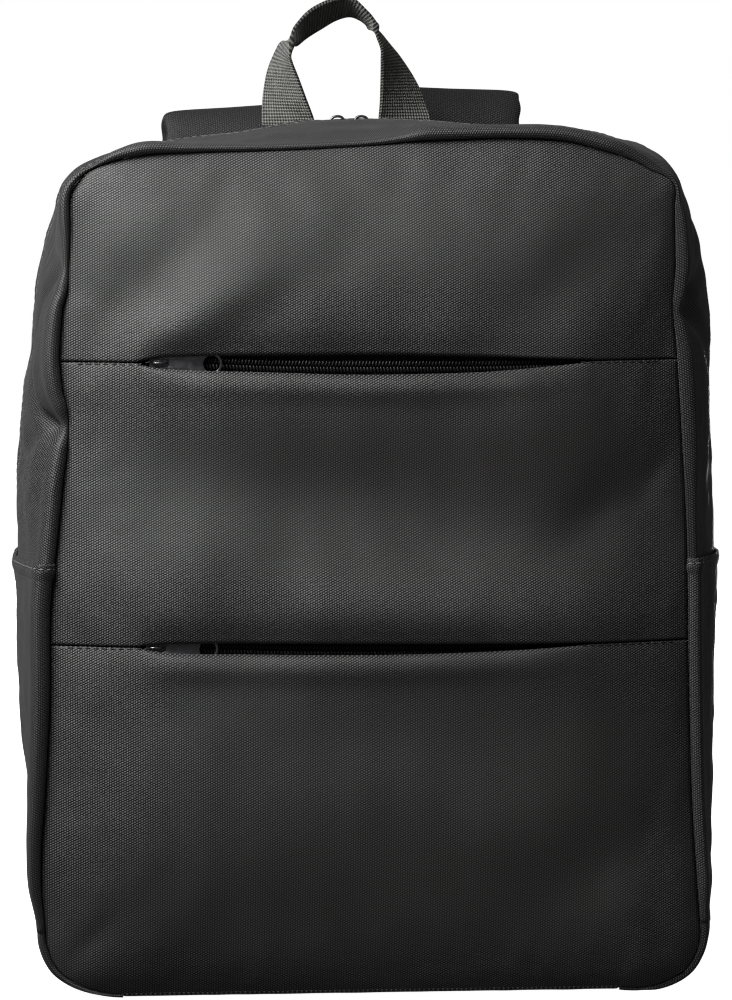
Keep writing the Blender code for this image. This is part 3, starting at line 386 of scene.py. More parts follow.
# Folds of the front: shares of the half width and of the seam height, spreads as shares
# of the half width, degrees of the long axis from +X, share of FOLD_DEPTH
FRONT_FOLD_ROWS = (
    # upper tier: the corner's valley, and the pleats that fan out from the zip's left end
    (0.70, 0.890, 0.44, 0.12, 40.0, 1.10),
    (0.64, 0.790, 0.36, 0.14, 40.0, -0.35),
    (0.90, 0.760, 0.14, 0.06, 80.0, 0.40),
    (-0.53, 0.796, 0.30, 0.085, 26.0, -0.95),
    (-0.42, 0.853, 0.36, 0.11, 38.0, -0.55),
    (-0.70, 0.830, 0.32, 0.09, 48.0, 0.90),
    (-0.36, 0.812, 0.30, 0.07, 30.0, 0.45),
    (-0.86, 0.920, 0.20, 0.07, 40.0, 0.45),
    (0.10, 0.900, 0.90, 0.18, 3.0, -0.10),
    # middle tier: sunk below its upper lip, then swelling towards the lower zip
    (0.12, 0.582, 0.85, 0.22, -8.0, 3.20),
    (-0.60, 0.600, 0.18, 0.15, 78.0, 0.80),
    (-0.78, 0.470, 0.30, 0.13, 90.0, -0.50),
    (-0.36, 0.460, 0.30, 0.17, 84.0, 0.80),
    (0.72, 0.590, 0.26, 0.09, 42.0, 0.80),
    (0.86, 0.620, 0.12, 0.04, 60.0, 0.50),
    (0.25, 0.450, 0.62, 0.14, -3.0, -1.70),
    # lower tier
    (0.05, 0.315, 0.90, 0.15, -2.0, 0.50),
    (0.10, 0.130, 0.85, 0.18, 3.0, 0.50),
    (0.70, 0.150, 0.36, 0.12, 34.0, 0.80),
    (-0.78, 0.090, 0.22, 0.08, 38.0, 0.60),
    (-0.88, 0.060, 0.10, 0.030, 44.0, 0.50),
    (0.88, 0.060, 0.10, 0.030, -44.0, 0.50),
)

# Carry handle, left foot to right foot: shares of half span and height of its two edges,
# turn = 1 where the outer edge is in front and -1 where the inner one is
HANDLE_ROWS = (
    # outer_x, outer_z, inner_x, inner_z, turn
    (-1.00, 0.000, -0.385, 0.000, -1.0),
    (-1.00, 0.070, -0.415, 0.070, -1.0),
    (-0.98, 0.225, -0.505, 0.210, -1.0),
    (-0.92, 0.420, -0.620, 0.400, -1.0),
    (-0.83, 0.565, -0.680, 0.495, -1.0),
    (-0.75, 0.665, -0.690, 0.550, -0.8),
    (-0.66, 0.755, -0.590, 0.615, 0.9),
    (-0.49, 0.885, -0.450, 0.690, 1.0),
    (-0.30, 0.960, -0.290, 0.755, 1.0),
    (-0.12, 0.995, -0.120, 0.820, 1.0),
    (0.05, 0.980, 0.040, 0.850, 1.0),
    (0.19, 0.895, 0.160, 0.830, 1.0),
    (0.29, 0.820, 0.250, 0.785, 0.8),
    (0.39, 0.735, 0.325, 0.690, -0.8),
    (0.51, 0.635, 0.378, 0.600, -1.0),
    (0.64, 0.530, 0.382, 0.505, -1.0),
    (0.78, 0.390, 0.382, 0.385, -1.0),
    (0.88, 0.265, 0.380, 0.264, -1.0),
    (0.94, 0.150, 0.375, 0.150, -1.0),
    (0.99, 0.050, 0.365, 0.050, -1.0),
    (1.00, 0.000, 0.365, 0.000, -1.0),
)

# Shoulder strap from its sewn end, up, over the fold and down: shares of the bow back, of
# the rise, of the way out to the end, of the narrowing, and of the pad's thickness
STRAP_ROWS = (
    # y, z, x, width, pad
    (0.028, 0.880, 0.00, 0.00, 0.35),
    (0.036, 0.930, 0.00, 0.00, 0.45),
    (0.09, 0.972, 0.00, 0.00, 0.60),
    (0.26, 1.000, 0.01, 0.00, 0.70),
    (0.40, 0.970, 0.03, 0.02, 0.85),
    (0.50, 0.860, 0.09, 0.10, 1.00),
    (0.68, 0.700, 0.22, 0.25, 1.00),
    (0.88, 0.500, 0.42, 0.42, 1.00),
    (1.00, 0.300, 0.65, 0.60, 1.00),
    (0.97, 0.130, 0.86, 0.80, 1.00),
    (0.88, 0.050, 0.95, 0.94, 0.60),
    (0.82, 0.000, 1.00, 1.00, 0.20),
)

# Pull tabs of the main zip: pivot, direction of the tab, direction out from the chain
MAIN_PULL_ROWS = (
    ("main_zip_left", "left_pull", (-0.0114, -0.003, 0.3822), (-0.99397, 0, -0.10962), (0, 0, 1)),
    ("main_zip_right", "right_pull", (-0.0006, -0.003, 0.382207), (0.99974, 0, -0.0227), (0, 0, 1)),
)

# How far the pivot of a front zip's pull stands in front of its coil, and where it is
PIVOT_BEFORE_COIL = 0.0032
UPPER_SLIDER_X = -0.0930
LOWER_SLIDER_X = -0.0950
PULL_TIP = 0.0225

# Outline of half a slider in millimetres, from its broad mouth to its tail: along, out
SLIDER_ROWS = (
    (4.6, 1.5), (4.4, 2.6), (3.5, 3.6), (1.6, 3.8),
    (-0.6, 3.3), (-2.8, 2.7), (-4.2, 2.4), (-4.6, 1.6),
)
PIVOT_ABOVE_SEAT = 0.0020
BRIDGE_HALF_SPAN = 0.0030
BRIDGE_FOOT = 0.0003
BRIDGE_CREST = 0.0037
BRIDGE_RADIUS = 0.0006
TAB_LENGTH = 0.0270
TAB_HALF_WIDTH = 0.0046
TAB_RING = (0.0224, 0.0036)

# Half of a webbing's section: shares of its half width and of its wall
HALF_SECTION = (
    (-1.0, 0.0), (-0.985, 0.42), (-0.93, 0.52), (-0.88, 0.45), (-0.5, 0.5),
    (0, 0.5), (0.5, 0.5), (0.88, 0.45), (0.93, 0.52), (0.985, 0.42),
)
WEBBING_SECTION = HALF_SECTION + tuple((-a, -b) for a, b in HALF_SECTION)

# Lights: name, place, target, size, watts
LIGHT_ROWS = (
    ("key", (-0.42, -0.36, 0.72), (-0.05, 0, 0.26), (0.34, 0.34), 8.0),
    ("front", (-0.35, -1.35, 1.40), (0, 0, 0.24), (0.8, 0.8), 2),
    ("back", (0.3, 1.7, 0.13), (0, 0.1, 0.2), (0.8, 0.2), 12),
    ("side", (-1.50, -0.70, 1.00), (-0.05, 0, 0.24), (0.7, 0.7), 1.5),
    ("top", (-0.3, 0.2, 1.7), (0, 0, 0.35), (1.0, 0.6), 2),
)

# The camera: degrees round and up, distance, what it looks at, metres for each pixel
CAMERA_AZIMUTH = -5
CAMERA_ELEVATION = 5
CAMERA_DISTANCE = 2.4
CAMERA_TARGET = (0.0017, 0, 0.2135)
METRES_PER_PIXEL = 0.000445
PICTURE_HEIGHT = 1000

FLOOR_RADIUS = 4
ROOM_LIGHT = 0.075


# Tables and curves


def column(rows, index):
    return np.array([row[index] for row in rows], float)


def smooth_table(rows, where, index=1):
    """A smooth curve without overshoot through one column of a table."""
    x, y = column(rows, 0), column(rows, index)
    step = np.diff(x)
    rise = np.diff(y) / step
    slope = np.concatenate([[rise[0]], np.zeros(len(x) - 2), [rise[-1]]])
    same = rise[:-1] * rise[1:] > 0
    both = rise[:-1][same], rise[1:][same]
    slope[1:-1][same] = 2 * both[0] * both[1] / (both[0] + both[1])
    where = np.clip(where, x[0], x[-1])
    i = np.clip(np.searchsorted(x, where, side="right") - 1, 0, len(x) - 2)
    t = (where - x[i]) / step[i]
    start = (2 * t**3 - 3 * t**2 + 1) * y[i] + (t**3 - 2 * t**2 + t) * step[i] * slope[i]
    end = (3 * t**2 - 2 * t**3) * y[i + 1] + (t**3 - t**2) * step[i] * slope[i + 1]
    return start + end


def smooth_rows(rows, per_step):
    """Points on a Catmull-Rom curve through the rows, per_step of them for each step."""
    rows = np.asarray(rows, float)
    padded = np.vstack([2 * rows[0] - rows[1], rows, 2 * rows[-1] - rows[-2]])
    out = []
    for i in range(len(rows) - 1):
        before, start, end, after = padded[i : i + 4]
        for step in range(per_step):
            t = step / per_step
            out.append(
                start
                + 0.5 * t * (end - before)
                + t * t * (before - 2.5 * start + 2 * end - 0.5 * after)
                + t**3 * (1.5 * (start - end) + 0.5 * (after - before))
            )
    out.append(rows[-1])
    return np.array(out)


def unit(vectors):
    return vectors / np.maximum(np.linalg.norm(vectors, axis=-1, keepdims=True), 1e-12)


def square_to(vectors, tangents):
    """Unit vectors turned square to the tangents."""
    return unit(vectors - (vectors * tangents).sum(axis=1, keepdims=True) * tangents)


def run_length(points):
    """Distance along a row of points from its start."""
    steps = np.linalg.norm(np.diff(points, axis=0), axis=1)
    return np.concatenate([[0], np.cumsum(steps)])


def resample(points, at):
    """Points at the distances along a polyline."""
    along = run_length(points)
    return np.stack([np.interp(at, along, points[:, k]) for k in range(points.shape[1])], 1)


def ripple(u, v, seed, low, high, count=16):
    """Soft uneven waves of height about 1, with wavelengths from low to high."""
    draw = np.random.default_rng(seed)
    total = np.zeros_like(u)
    for _ in range(count):
        length = low * (high / low) ** draw.random()
        turn = draw.random() * math.tau
        phase = draw.random() * math.tau
        wave = (u * math.cos(turn) + v * math.sin(turn)) * math.tau / length
        total += np.sin(wave + phase) * (length / high) ** 0.5
    return total / math.sqrt(count)


def folds(u, v, rows):
    """Sum of soft valleys: rows of u, v, long, short, degrees and depth."""
    total = np.zeros_like(u)
    for at_u, at_v, long, short, turn, depth in rows:
        angle = math.radians(turn)
        du, dv = u - at_u, v - at_v
        along = (du * math.cos(angle) + dv * math.sin(angle)) / long
        over = (dv * math.cos(angle) - du * math.sin(angle)) / short
        total += depth * np.exp(-(along**2) - over**2)
    return total


# The front seam, dense


def half_width(z):
    side_top = SEAM_HEIGHT - TOP_CORNER_DROP
    share = np.clip(z / side_top, 0.0, 1.0)
    return SEAM_HALF_WIDTH_LOW + (SEAM_HALF_WIDTH_HIGH - SEAM_HALF_WIDTH_LOW) * share


def seam_curve():
    """The whole front seam, from the left end of the base over the top to the right."""
    corner_z = SEAM_BASE + BASE_CORNER_RISE
    corner_x = -(half_width(corner_z) - BASE_CORNER_RUN)
    side_top = SEAM_HEIGHT - TOP_CORNER_DROP
    top_x = -(half_width(side_top) - TOP_CORNER_RUN)
    low = np.radians(np.linspace(270, 180, 60))
    high = np.radians(np.linspace(180, 90, 80))
    side = np.linspace(corner_z, side_top, 200)[1:-1]
    top = np.linspace(top_x, 0, 60)[1:]
    x = [corner_x + BASE_CORNER_RUN * np.cos(low), -half_width(side)]
    x += [top_x + TOP_CORNER_RUN * np.cos(high), top]
    z = [corner_z + BASE_CORNER_RISE * np.sin(low), side]
    z += [side_top + TOP_CORNER_DROP * np.sin(high), np.full_like(top, SEAM_HEIGHT)]
    left = np.stack([np.concatenate(x), np.concatenate(z)], axis=1)
    points = np.vstack([left, left[-2::-1] * (-1, 1)])
    points[:, 1] += TOP_LEAN * points[:, 0] * (points[:, 1] / SEAM_HEIGHT) ** 6
    return points


CURVE = seam_curve()
SEAM_LENGTH = run_length(CURVE)[-1]
SEAM = resample(CURVE, np.linspace(0, SEAM_LENGTH, SEAM_POINTS))
SEAM_SHARE = np.linspace(0, 1, SEAM_POINTS)
TANGENTS = np.gradient(SEAM, axis=0)
TANGENTS[0] = TANGENTS[-1] = (-1, 0)
TANGENTS = unit(TANGENTS)
NORMALS = np.stack([-TANGENTS[:, 1], TANGENTS[:, 0]], axis=1)
STRAY = 0.001 * smooth_table(STRAY_ROWS, SEAM_SHARE)
SEAM = SEAM + NORMALS * STRAY[:, None]
BULGES = BULGE * smooth_table(BULGE_ROWS, SEAM_SHARE) - STRAY
LIPS = smooth_table(LIP_ROWS, SEAM_SHARE)
LIP_HEIGHTS = LIPS * LIP_HEIGHT * (1 - 0.8 * np.clip((SEAM_SHARE - 0.60) / 0.04, 0, 1))
MIDDLE = SEAM_POINTS // 2


def left_row(z):
    """Index of the seam point at a height on its left side, its lean taken off."""
    lean = TOP_LEAN * SEAM[:MIDDLE, 0] * (z / SEAM_HEIGHT) ** 6
    return int(np.argmin(np.abs(SEAM[:MIDDLE, 1] - lean - z)))


LOWER_ZIP_ROW = left_row(LOWER_ZIP_Z)
UPPER_ZIP_ROW = left_row(UPPER_ZIP_Z)
TOP_CORNER_ROW = int(np.argmin(np.abs(SEAM_SHARE - 0.392)))
BASE_CORNER_ROW = int(np.argmin(np.abs(SEAM_SHARE - 0.021)))
LAST = SEAM_POINTS - 1
UPPER_ZIP = (UPPER_ZIP_ROW, UPPER_ZIP_GAPE, UPPER_GAPE_ROWS)
LOWER_ZIP = (LOWER_ZIP_ROW, LOWER_ZIP_GAPE, LOWER_GAPE_ROWS)


# Meshes


def new_piece(name, vertices, faces, material, uv=None):
    """A smooth mesh object that rides on the bag, its weave laid out in metres."""
    mesh = bpy.data.meshes.new(name)
    mesh.from_pydata(np.asarray(vertices, float).tolist(), [], faces)
    mesh.materials.append(material)
    mesh.shade_smooth()
    if uv is not None:
        corners = np.empty(len(mesh.loops), np.int32)
        mesh.loops.foreach_get("vertex_index", corners)
        layer = mesh.uv_layers.new(name="weave")
        layer.uv.foreach_set("vector", np.asarray(uv, np.float32)[corners].ravel())
    made = bpy.data.objects.new(name, mesh)
    bpy.context.scene.collection.objects.link(made)
    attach(made, "bag")
    return made


def grid_quads(rows, columns, closed=False):
    """Faces of a grid of points, closed across its columns or not."""
    last = columns if closed else columns - 1
    i, j = np.meshgrid(np.arange(rows - 1), np.arange(last), indexing="ij")
    k = (j + 1) % columns
    low, high = i * columns, (i + 1) * columns
    return np.stack([low + j, low + k, high + k, high + j], -1).reshape(-1, 4)


def rim_quads(rows, columns):
    """Faces between the rim of a grid and the rim of its copy, stored after it."""
    count = rows * columns
    rim = np.concatenate([
        np.arange(columns),
        np.arange(1, rows) * columns + columns - 1,
        (rows - 1) * columns + np.arange(columns - 2, -1, -1),
        np.arange(rows - 2, 0, -1) * columns,
    ])
    after = np.roll(rim, -1)
    return np.stack([after, rim, rim + count, after + count], axis=1)


def grid_normals(grid):
    across = np.gradient(grid, axis=1)
    up = np.gradient(grid, axis=0)
    return unit(np.cross(across, up))


def grid_uv(grid):
    """Places on the cloth in metres: u across the columns, v along the rows."""
    across = np.linalg.norm(np.diff(grid, axis=1), axis=2)
    up = np.linalg.norm(np.diff(grid, axis=0), axis=2)
    u = np.concatenate([np.zeros((len(grid), 1)), np.cumsum(across, axis=1)], axis=1)
    v = np.concatenate([np.zeros((1, grid.shape[1])), np.cumsum(up, axis=0)], axis=0)
    return np.stack([u - u.mean(axis=1, keepdims=True), v], axis=-1)


def cloth(name, grid, wall, material, uv=None, turn=False):
    """A wall of cloth: its outer face is the grid, and its inner one lies a wall in."""
    rows, columns = grid.shape[:2]
    normals = grid_normals(grid) * (-1 if turn else 1)
    inner = grid - normals * wall
    quads = grid_quads(rows, columns)
    edge = rim_quads(rows, columns)
    outer_quads = quads[:, ::-1] if turn else quads
    inner_quads = (quads if turn else quads[:, ::-1]) + rows * columns
    edge = edge[:, ::-1] if turn else edge
    uv = grid_uv(grid) if uv is None else uv
    uv = np.asarray(uv).reshape(-1, 2)
    vertices = np.concatenate([grid.reshape(-1, 3), inner.reshape(-1, 3)])
    faces = np.concatenate([outer_quads, inner_quads, edge]).tolist()
    return new_piece(name, vertices, faces, material, np.concatenate([uv, uv]))


def tube_rings(name, rings, material, uv):
    """A capped strip lofted through closed sections, each with its points in order."""
    count, sides = rings.shape[:2]
    quads = grid_quads(count, sides, closed=True)
    first = rings[count // 2]
    centre = first.mean(axis=0)
    heading = rings[min(count // 2 + 1, count - 1)].mean(axis=0) - centre
    spin = np.cross(first[0] - centre, first[sides // 4] - centre)
    turned = np.dot(spin, heading) < 0
    faces = (quads[:, ::-1] if turned else quads).tolist()
    low = list(range(sides))
    high = [(count - 1) * sides + j for j in range(sides)]
    faces.append(low if turned else low[::-1])
    faces.append(high[::-1] if turned else high)
    return new_piece(name, rings.reshape(-1, 3), faces, material, np.asarray(uv).reshape(-1, 2))


def bead_shape():
    """A capsule of unit half sizes, long along X."""
    sides = 8
    points = [(-1, 0, 0)]
    for x, radius in ((-0.86, 0.62), (-0.55, 0.95), (0.0, 1.0), (0.55, 0.95), (0.86, 0.62)):
        for k in range(sides):
            angle = math.tau * k / sides
            points.append((x, radius * math.cos(angle), radius * math.sin(angle)))
    points.append((1, 0, 0))
    faces = []
    last = len(points) - 1
    for k in range(sides):
        after = (k + 1) % sides
        faces.append([0, 1 + after, 1 + k, 1 + k])
        for ring in range(4):
            a, b = 1 + ring * sides, 1 + (ring + 1) * sides
            faces.append([a + k, a + after, b + after, b + k])
        faces.append([last - sides + k, last - sides + after, last, last])
    return np.array(points, float), faces


BEAD_POINTS, BEAD_FACES = bead_shape()


def beads(name, centres, along, up, sizes, material):
    """Many capsules in one mesh: stitches, or the loops of a zip's coil."""
    along = unit(along)
    up = square_to(up, along)
    across = np.cross(up, along)
    shape = BEAD_POINTS[None] * np.asarray(sizes, float).reshape(-1, 1, 3)
    axes = np.stack([along, across, up], axis=1)
    shapes = np.broadcast_to(shape, (len(axes), *shape.shape[1:]))
    points = centres[:, None] + np.einsum("nvk,nkc->nvc", shapes, axes)
    faces = []
    for index in range(len(axes)):
        start = index * len(BEAD_POINTS)
        for face in BEAD_FACES:
            kept = face[:3] if face[2] == face[3] else face
            faces.append([start + v for v in kept])
    return new_piece(name, points.reshape(-1, 3), faces, material)


def stitches(name, line, normals, size, material):
    """A row of stitches along a line of points on the cloth, sunk into it a little."""
    length, gap, radius = size
    along = run_length(line)
    at = np.arange(length, along[-1] - length / 2, length + gap)
    places = resample(line, at)
    heading = resample(line, at + length / 4) - resample(line, at - length / 4)
    out = np.stack([np.interp(at, along, normals[:, k]) for k in range(3)], 1)
    sizes = np.array([[length / 2, radius, radius * 0.8]])
    return beads(name, places + unit(out) * radius * 0.2, heading, out, sizes, material)


# Materials


def node_tree(name):
    material = bpy.data.materials.new(name)
    material.use_nodes = True
    tree = material.node_tree
    return material, tree, tree.nodes["Principled BSDF"]


def add(tree, kind, **settings):
    node = tree.nodes.new(kind)
    for key, value in settings.items():
        setattr(node, key, value)
    return node


def math_node(tree, operation, first, second=None, third=None):
    node = add(tree, "ShaderNodeMath", operation=operation)
    for socket, value in zip(node.inputs, (first, second, third)):
        if value is None:
            continue
        if isinstance(value, (int, float)):
            socket.default_value = value
        else:
            tree.links.new(value, socket)
    return node.outputs[0]


def weave_axes(tree):
    """The u and v of the cloth, in metres."""
    layer = add(tree, "ShaderNodeUVMap", uv_map="weave")
    parts = add(tree, "ShaderNodeSeparateXYZ")
    tree.links.new(layer.outputs[0], parts.inputs[0])
    return parts.outputs[0], parts.outputs[1]


def noise_node(tree, scale, detail, roughness=0.5):
    node = add(tree, "ShaderNodeTexNoise")
    node.inputs["Scale"].default_value = scale
    node.inputs["Detail"].default_value = detail
    node.inputs["Roughness"].default_value = roughness
    place = add(tree, "ShaderNodeTexCoord")
    tree.links.new(place.outputs["Object"], node.inputs["Vector"])
    return node.outputs[0]


def ramp_node(tree, factor, stops):
    node = add(tree, "ShaderNodeValToRGB")
    elements = node.color_ramp.elements
    elements[0].position, elements[0].color = stops[0][0], (*stops[0][1], 1)
    elements[1].position, elements[1].color = stops[-1][0], (*stops[-1][1], 1)
    for position, colour in stops[1:-1]:
        elements.new(position).color = (*colour, 1)
    tree.links.new(factor, node.inputs[0])
    return node.outputs[0]


def bump_node(tree, height, strength, distance, normal=None):
    node = add(tree, "ShaderNodeBump")
    node.inputs["Strength"].default_value = strength
    node.inputs["Distance"].default_value = distance
    tree.links.new(height, node.inputs["Height"])
    if normal is not None:
        tree.links.new(normal, node.inputs["Normal"])
    return node.outputs[0]


def wave_of(tree, axis, period):
    return math_node(tree, "COSINE", math_node(tree, "MULTIPLY", axis, math.tau / period))


def coated_fabric(name, dark, light, gloss=0.46):
    """Coated nylon: a fine woven lattice under a thin even coat."""
    material, tree, shader = node_tree(name)
    u, v = weave_axes(tree)
    turn_u = math_node(tree, "MULTIPLY", u, math.tau / WEAVE_ACROSS)
    turn_v = math_node(tree, "MULTIPLY", v, math.tau / WEAVE_UP)
    rising = math_node(tree, "COSINE", math_node(tree, "SUBTRACT", turn_u, turn_v))
    falling = math_node(tree, "COSINE", math_node(tree, "ADD", turn_u, turn_v))
    upright = wave_of(tree, u, WEAVE_ACROSS / 2)
    strands = math_node(tree, "MULTIPLY_ADD", falling, 0.14, math_node(tree, "MULTIPLY", upright, 0.13))
    bumps = math_node(tree, "MULTIPLY_ADD", rising, 0.25, math_node(tree, "ADD", strands, 0.5))
    grain = noise_node(tree, 900.0, 2.0)
    height = math_node(tree, "MULTIPLY_ADD", grain, 0.35, bumps)
    soft = noise_node(tree, 7.0, 4.0)
    shade = math_node(tree, "MULTIPLY_ADD", bumps, 0.86, math_node(tree, "MULTIPLY", soft, 0.20))
    colour = ramp_node(tree, shade, ((0.42, dark), (1.00, light)))
    tree.links.new(colour, shader.inputs["Base Color"])
    rough = math_node(tree, "MULTIPLY_ADD", noise_node(tree, 24.0, 3.0), 0.10, gloss)
    tree.links.new(rough, shader.inputs["Roughness"])
    shader.inputs["Specular IOR Level"].default_value = 0.42
    shader.inputs["Sheen Weight"].default_value = 0.06
    shader.inputs["Sheen Roughness"].default_value = 0.5
    wide = bump_node(tree, noise_node(tree, 46.0, 3.0), 0.25, 0.0006)
    fine = bump_node(tree, height, 0.80, 0.00028, wide)
    tree.links.new(fine, shader.inputs["Normal"])
    return material


def spacer_mesh(name):
    """Open knitted mesh over foam: a grid of small round holes."""
    material, tree, shader = node_tree(name)
    u, v = weave_axes(tree)
    across, up = wave_of(tree, u, MESH_ACROSS), wave_of(tree, v, MESH_UP)
    first = math_node(tree, "MULTIPLY", across, up)
    holes = math_node(tree, "SMOOTH_MIN", math_node(tree, "ABSOLUTE", first), 0.55, 0.2)
    threads = math_node(tree, "MULTIPLY", wave_of(tree, u, MESH_THREAD), 0.10)
    height = math_node(tree, "SUBTRACT", threads, holes)
    shade = math_node(tree, "MULTIPLY_ADD", holes, -1.0, 0.9)
    colour = ramp_node(tree, shade, ((0.3, (0.004, 0.004, 0.004)), (0.9, (0.024, 0.024, 0.025))))
    tree.links.new(colour, shader.inputs["Base Color"])
    shader.inputs["Roughness"].default_value = 0.82
    shader.inputs["Sheen Weight"].default_value = 0.2
    tree.links.new(bump_node(tree, height, 0.9, 0.0008), shader.inputs["Normal"])
    return material


def ribbed_webbing(name, dark, light, rib, thread):
    """Woven webbing: ribs across its width, each of fine twisted threads."""
    material, tree, shader = node_tree(name)
    u, v = weave_axes(tree)
    ribs = wave_of(tree, v, rib)
    columns = wave_of(tree, u, thread)
    height = math_node(tree, "MULTIPLY_ADD", ribs, 0.5, math_node(tree, "MULTIPLY", columns, 0.45))
    yarn = noise_node(tree, 1400.0, 2.0, roughness=0.6)
    soft = noise_node(tree, 260.0, 3.0)
    speckle = math_node(tree, "MULTIPLY_ADD", yarn, 0.32, math_node(tree, "MULTIPLY", soft, 0.36))
    shade = math_node(tree, "MULTIPLY_ADD", height, 0.46, math_node(tree, "ADD", speckle, 0.16))
    colour = ramp_node(tree, shade, ((0.22, dark), (0.86, light)))
    tree.links.new(colour, shader.inputs["Base Color"])
    shader.inputs["Roughness"].default_value = 0.78
    shader.inputs["Specular IOR Level"].default_value = 0.3
    shader.inputs["Sheen Weight"].default_value = 0.15
    fuzz = bump_node(tree, yarn, 0.4, 0.0002)
    tree.links.new(bump_node(tree, height, 0.9, 0.00045, fuzz), shader.inputs["Normal"])
    return material


def plain_solid(name, colour, roughness, metallic=0.0, grain=260.0, depth=0.00005):
    """Metal, moulded plastic or thread: a colour with fine unevenness."""
    material, tree, shader = node_tree(name)
    uneven = noise_node(tree, grain, 3.0)
    low = tuple(0.8 * c for c in colour)
    high = tuple(1.2 * c for c in colour)
    tree.links.new(ramp_node(tree, uneven, ((0.3, low), (0.7, high))), shader.inputs["Base Color"])
    rough = math_node(tree, "MULTIPLY_ADD", uneven, 0.15, roughness - 0.07)
    tree.links.new(rough, shader.inputs["Roughness"])
    shader.inputs["Metallic"].default_value = metallic
    tree.links.new(bump_node(tree, uneven, 0.3, depth), shader.inputs["Normal"])
    return material


FABRIC = coated_fabric("coated_fabric_looks", (0.0015, 0.0015, 0.0017), (0.175, 0.175, 0.172))
SIDE_FABRIC = coated_fabric("side_fabric_looks", (0.0015, 0.0015, 0.0017), (0.125, 0.125, 0.123))
STRAP_FABRIC = coated_fabric("strap_fabric_looks", (0.0010, 0.0010, 0.0012), (0.020, 0.020, 0.020), 0.56)
MESH = spacer_mesh("back_mesh_looks")
GREY = ribbed_webbing("grey_webbing_looks", (0.006, 0.006, 0.0055), (0.225, 0.225, 0.205), 0.00140, 0.00130)
BLACK = ribbed_webbing("black_webbing_looks", (0.006, 0.006, 0.006), (0.028, 0.028, 0.029), 0.0016, 0.0013)
TAPE = ribbed_webbing("zip_tape_looks", (0.004, 0.004, 0.004), (0.016, 0.016, 0.016), 0.0008, 0.0010)
# The zips' black nylon coil, its colour darkened further as painted shade for the recesses it sits in
# behind the lips
BLACK_COIL_AND_SHADE = plain_solid("black_zip_coil_and_painted_shade_looks", (0.007, 0.007, 0.008), 0.40)
METAL = plain_solid("pull_metal_looks", (0.15, 0.15, 0.16), 0.36, 1.0, 420.0)
PLASTIC = plain_solid("buckle_plastic_looks", (0.014, 0.014, 0.015), 0.42)
DARK_THREAD = plain_solid("dark_thread_looks", (0.008, 0.008, 0.008), 0.7, 0.0, 2500.0, 0.00008)
GREY_THREAD = plain_solid("grey_thread_looks", (0.16, 0.16, 0.16), 0.7, 0.0, 2500.0, 0.00008)


# The front


def seam_distance(x, z):
    """Soft distance from places of the front to its edge, its four sides blended."""
    base_x = np.linspace(SEAM[0, 0], SEAM[-1, 0], 41)
    base = np.stack([base_x, np.full_like(base_x, SEAM_BASE)], axis=1)
    corner, top = int(0.027 * LAST), int(0.376 * LAST)
    sides = (
        SEAM[corner : top + 1 : 2],
        SEAM[top : LAST - top + 1 : 2],
        SEAM[LAST - top : LAST - corner + 1 : 2],
        np.vstack([SEAM[corner::-2], base, SEAM[: LAST - corner - 1 : -2]]),
    )
    total = np.zeros(x.shape)
    for side in sides:
        nearest = np.full(x.shape, 1.0)
        for start, end in zip(side[:-1], side[1:]):
            run = end - start
            size = max(float(run @ run), 1e-12)
            share = np.clip(((x - start[0]) * run[0] + (z - start[1]) * run[1]) / size, 0, 1)
            away = np.hypot(x - start[0] - share * run[0], z - start[1] - share * run[1])
            nearest = np.minimum(nearest, away)
        total += (nearest + 1e-5) ** -4.0
    return total**-0.25 - 0.9e-5


FRONT_FOLD_UNITS = (
    SEAM_HALF_WIDTH_LOW, SEAM_HEIGHT, SEAM_HALF_WIDTH_LOW, SEAM_HALF_WIDTH_LOW, 1, FOLD_DEPTH,
)
FRONT_FOLDS = np.array(FRONT_FOLD_ROWS) * FRONT_FOLD_UNITS


def front_y(x, z, fine=True):
    """Depth of the front's outer face at a place of the front."""
    distance = seam_distance(x, z)
    inset = 1 - np.exp(-distance / EDGE_ROLL_REACH)
    crown = CROWN * (1 - np.exp(-((distance / CROWN_REACH) ** 2)))
    dent = folds(x, z, FRONT_FOLDS)
    for zip_z in (LOWER_ZIP_Z, UPPER_ZIP_Z):
        reach = np.where(z < zip_z, TUCK_REACH_BELOW, TUCK_REACH_ABOVE)
        dent += TIER_TUCK * np.exp(-np.abs(z - zip_z) / reach)
    y = FRONT_SEAM_Y - EDGE_ROLL * inset - crown + dent * inset
    if fine:
        edge = np.exp(-distance / 0.016)
        y += inset * 0.00034 * ripple(x, z, 11, 0.020, 0.070)
        y += edge * inset * 0.0005 * ripple(x, z, 12, 0.012, 0.030)
    return y


def coons(left, right, bottom, top, up, across):
    """A grid of points between four boundary rows, at the given shares of the way."""
    up, across = up[:, None, None], across[None, :, None]
    sides = (1 - across) * left[:, None] + across * right[:, None]
    ends = (1 - up) * bottom[None] + up * top[None]
    corners = (
        (1 - across) * ((1 - up) * left[0] + up * left[-1])
        + across * ((1 - up) * right[0] + up * right[-1])
    )
    return sides + ends - corners


def zip_line(row, gape, gape_rows, side, across):
    """One edge of a front zip across the front: side is 1 above it and -1 below."""
    left, right = SEAM[row], SEAM[LAST - row]
    x = left[0] + (right[0] - left[0]) * across
    z = left[1] + (right[1] - left[1]) * across
    along = (x - ZIP_OPENING_LEFT) / (ZIP_OPENING_RIGHT - ZIP_OPENING_LEFT)
    share = smooth_table(gape_rows, along, 1 if side > 0 else 2)
    inside = np.clip(np.minimum(along, 1 - along) / 0.01, 0, 1)
    offset = share * inside * gape + SEWN_GAP / 2
    return np.stack([x, z + side * offset], axis=1), share * inside


def between(first, last, shares, curve=SEAM):
    """Points of a curve from one index to another at shares of the way."""
    piece = curve[first : last + 1] if last >= first else curve[last : first + 1][::-1]
    return resample(piece, shares * run_length(piece)[-1])


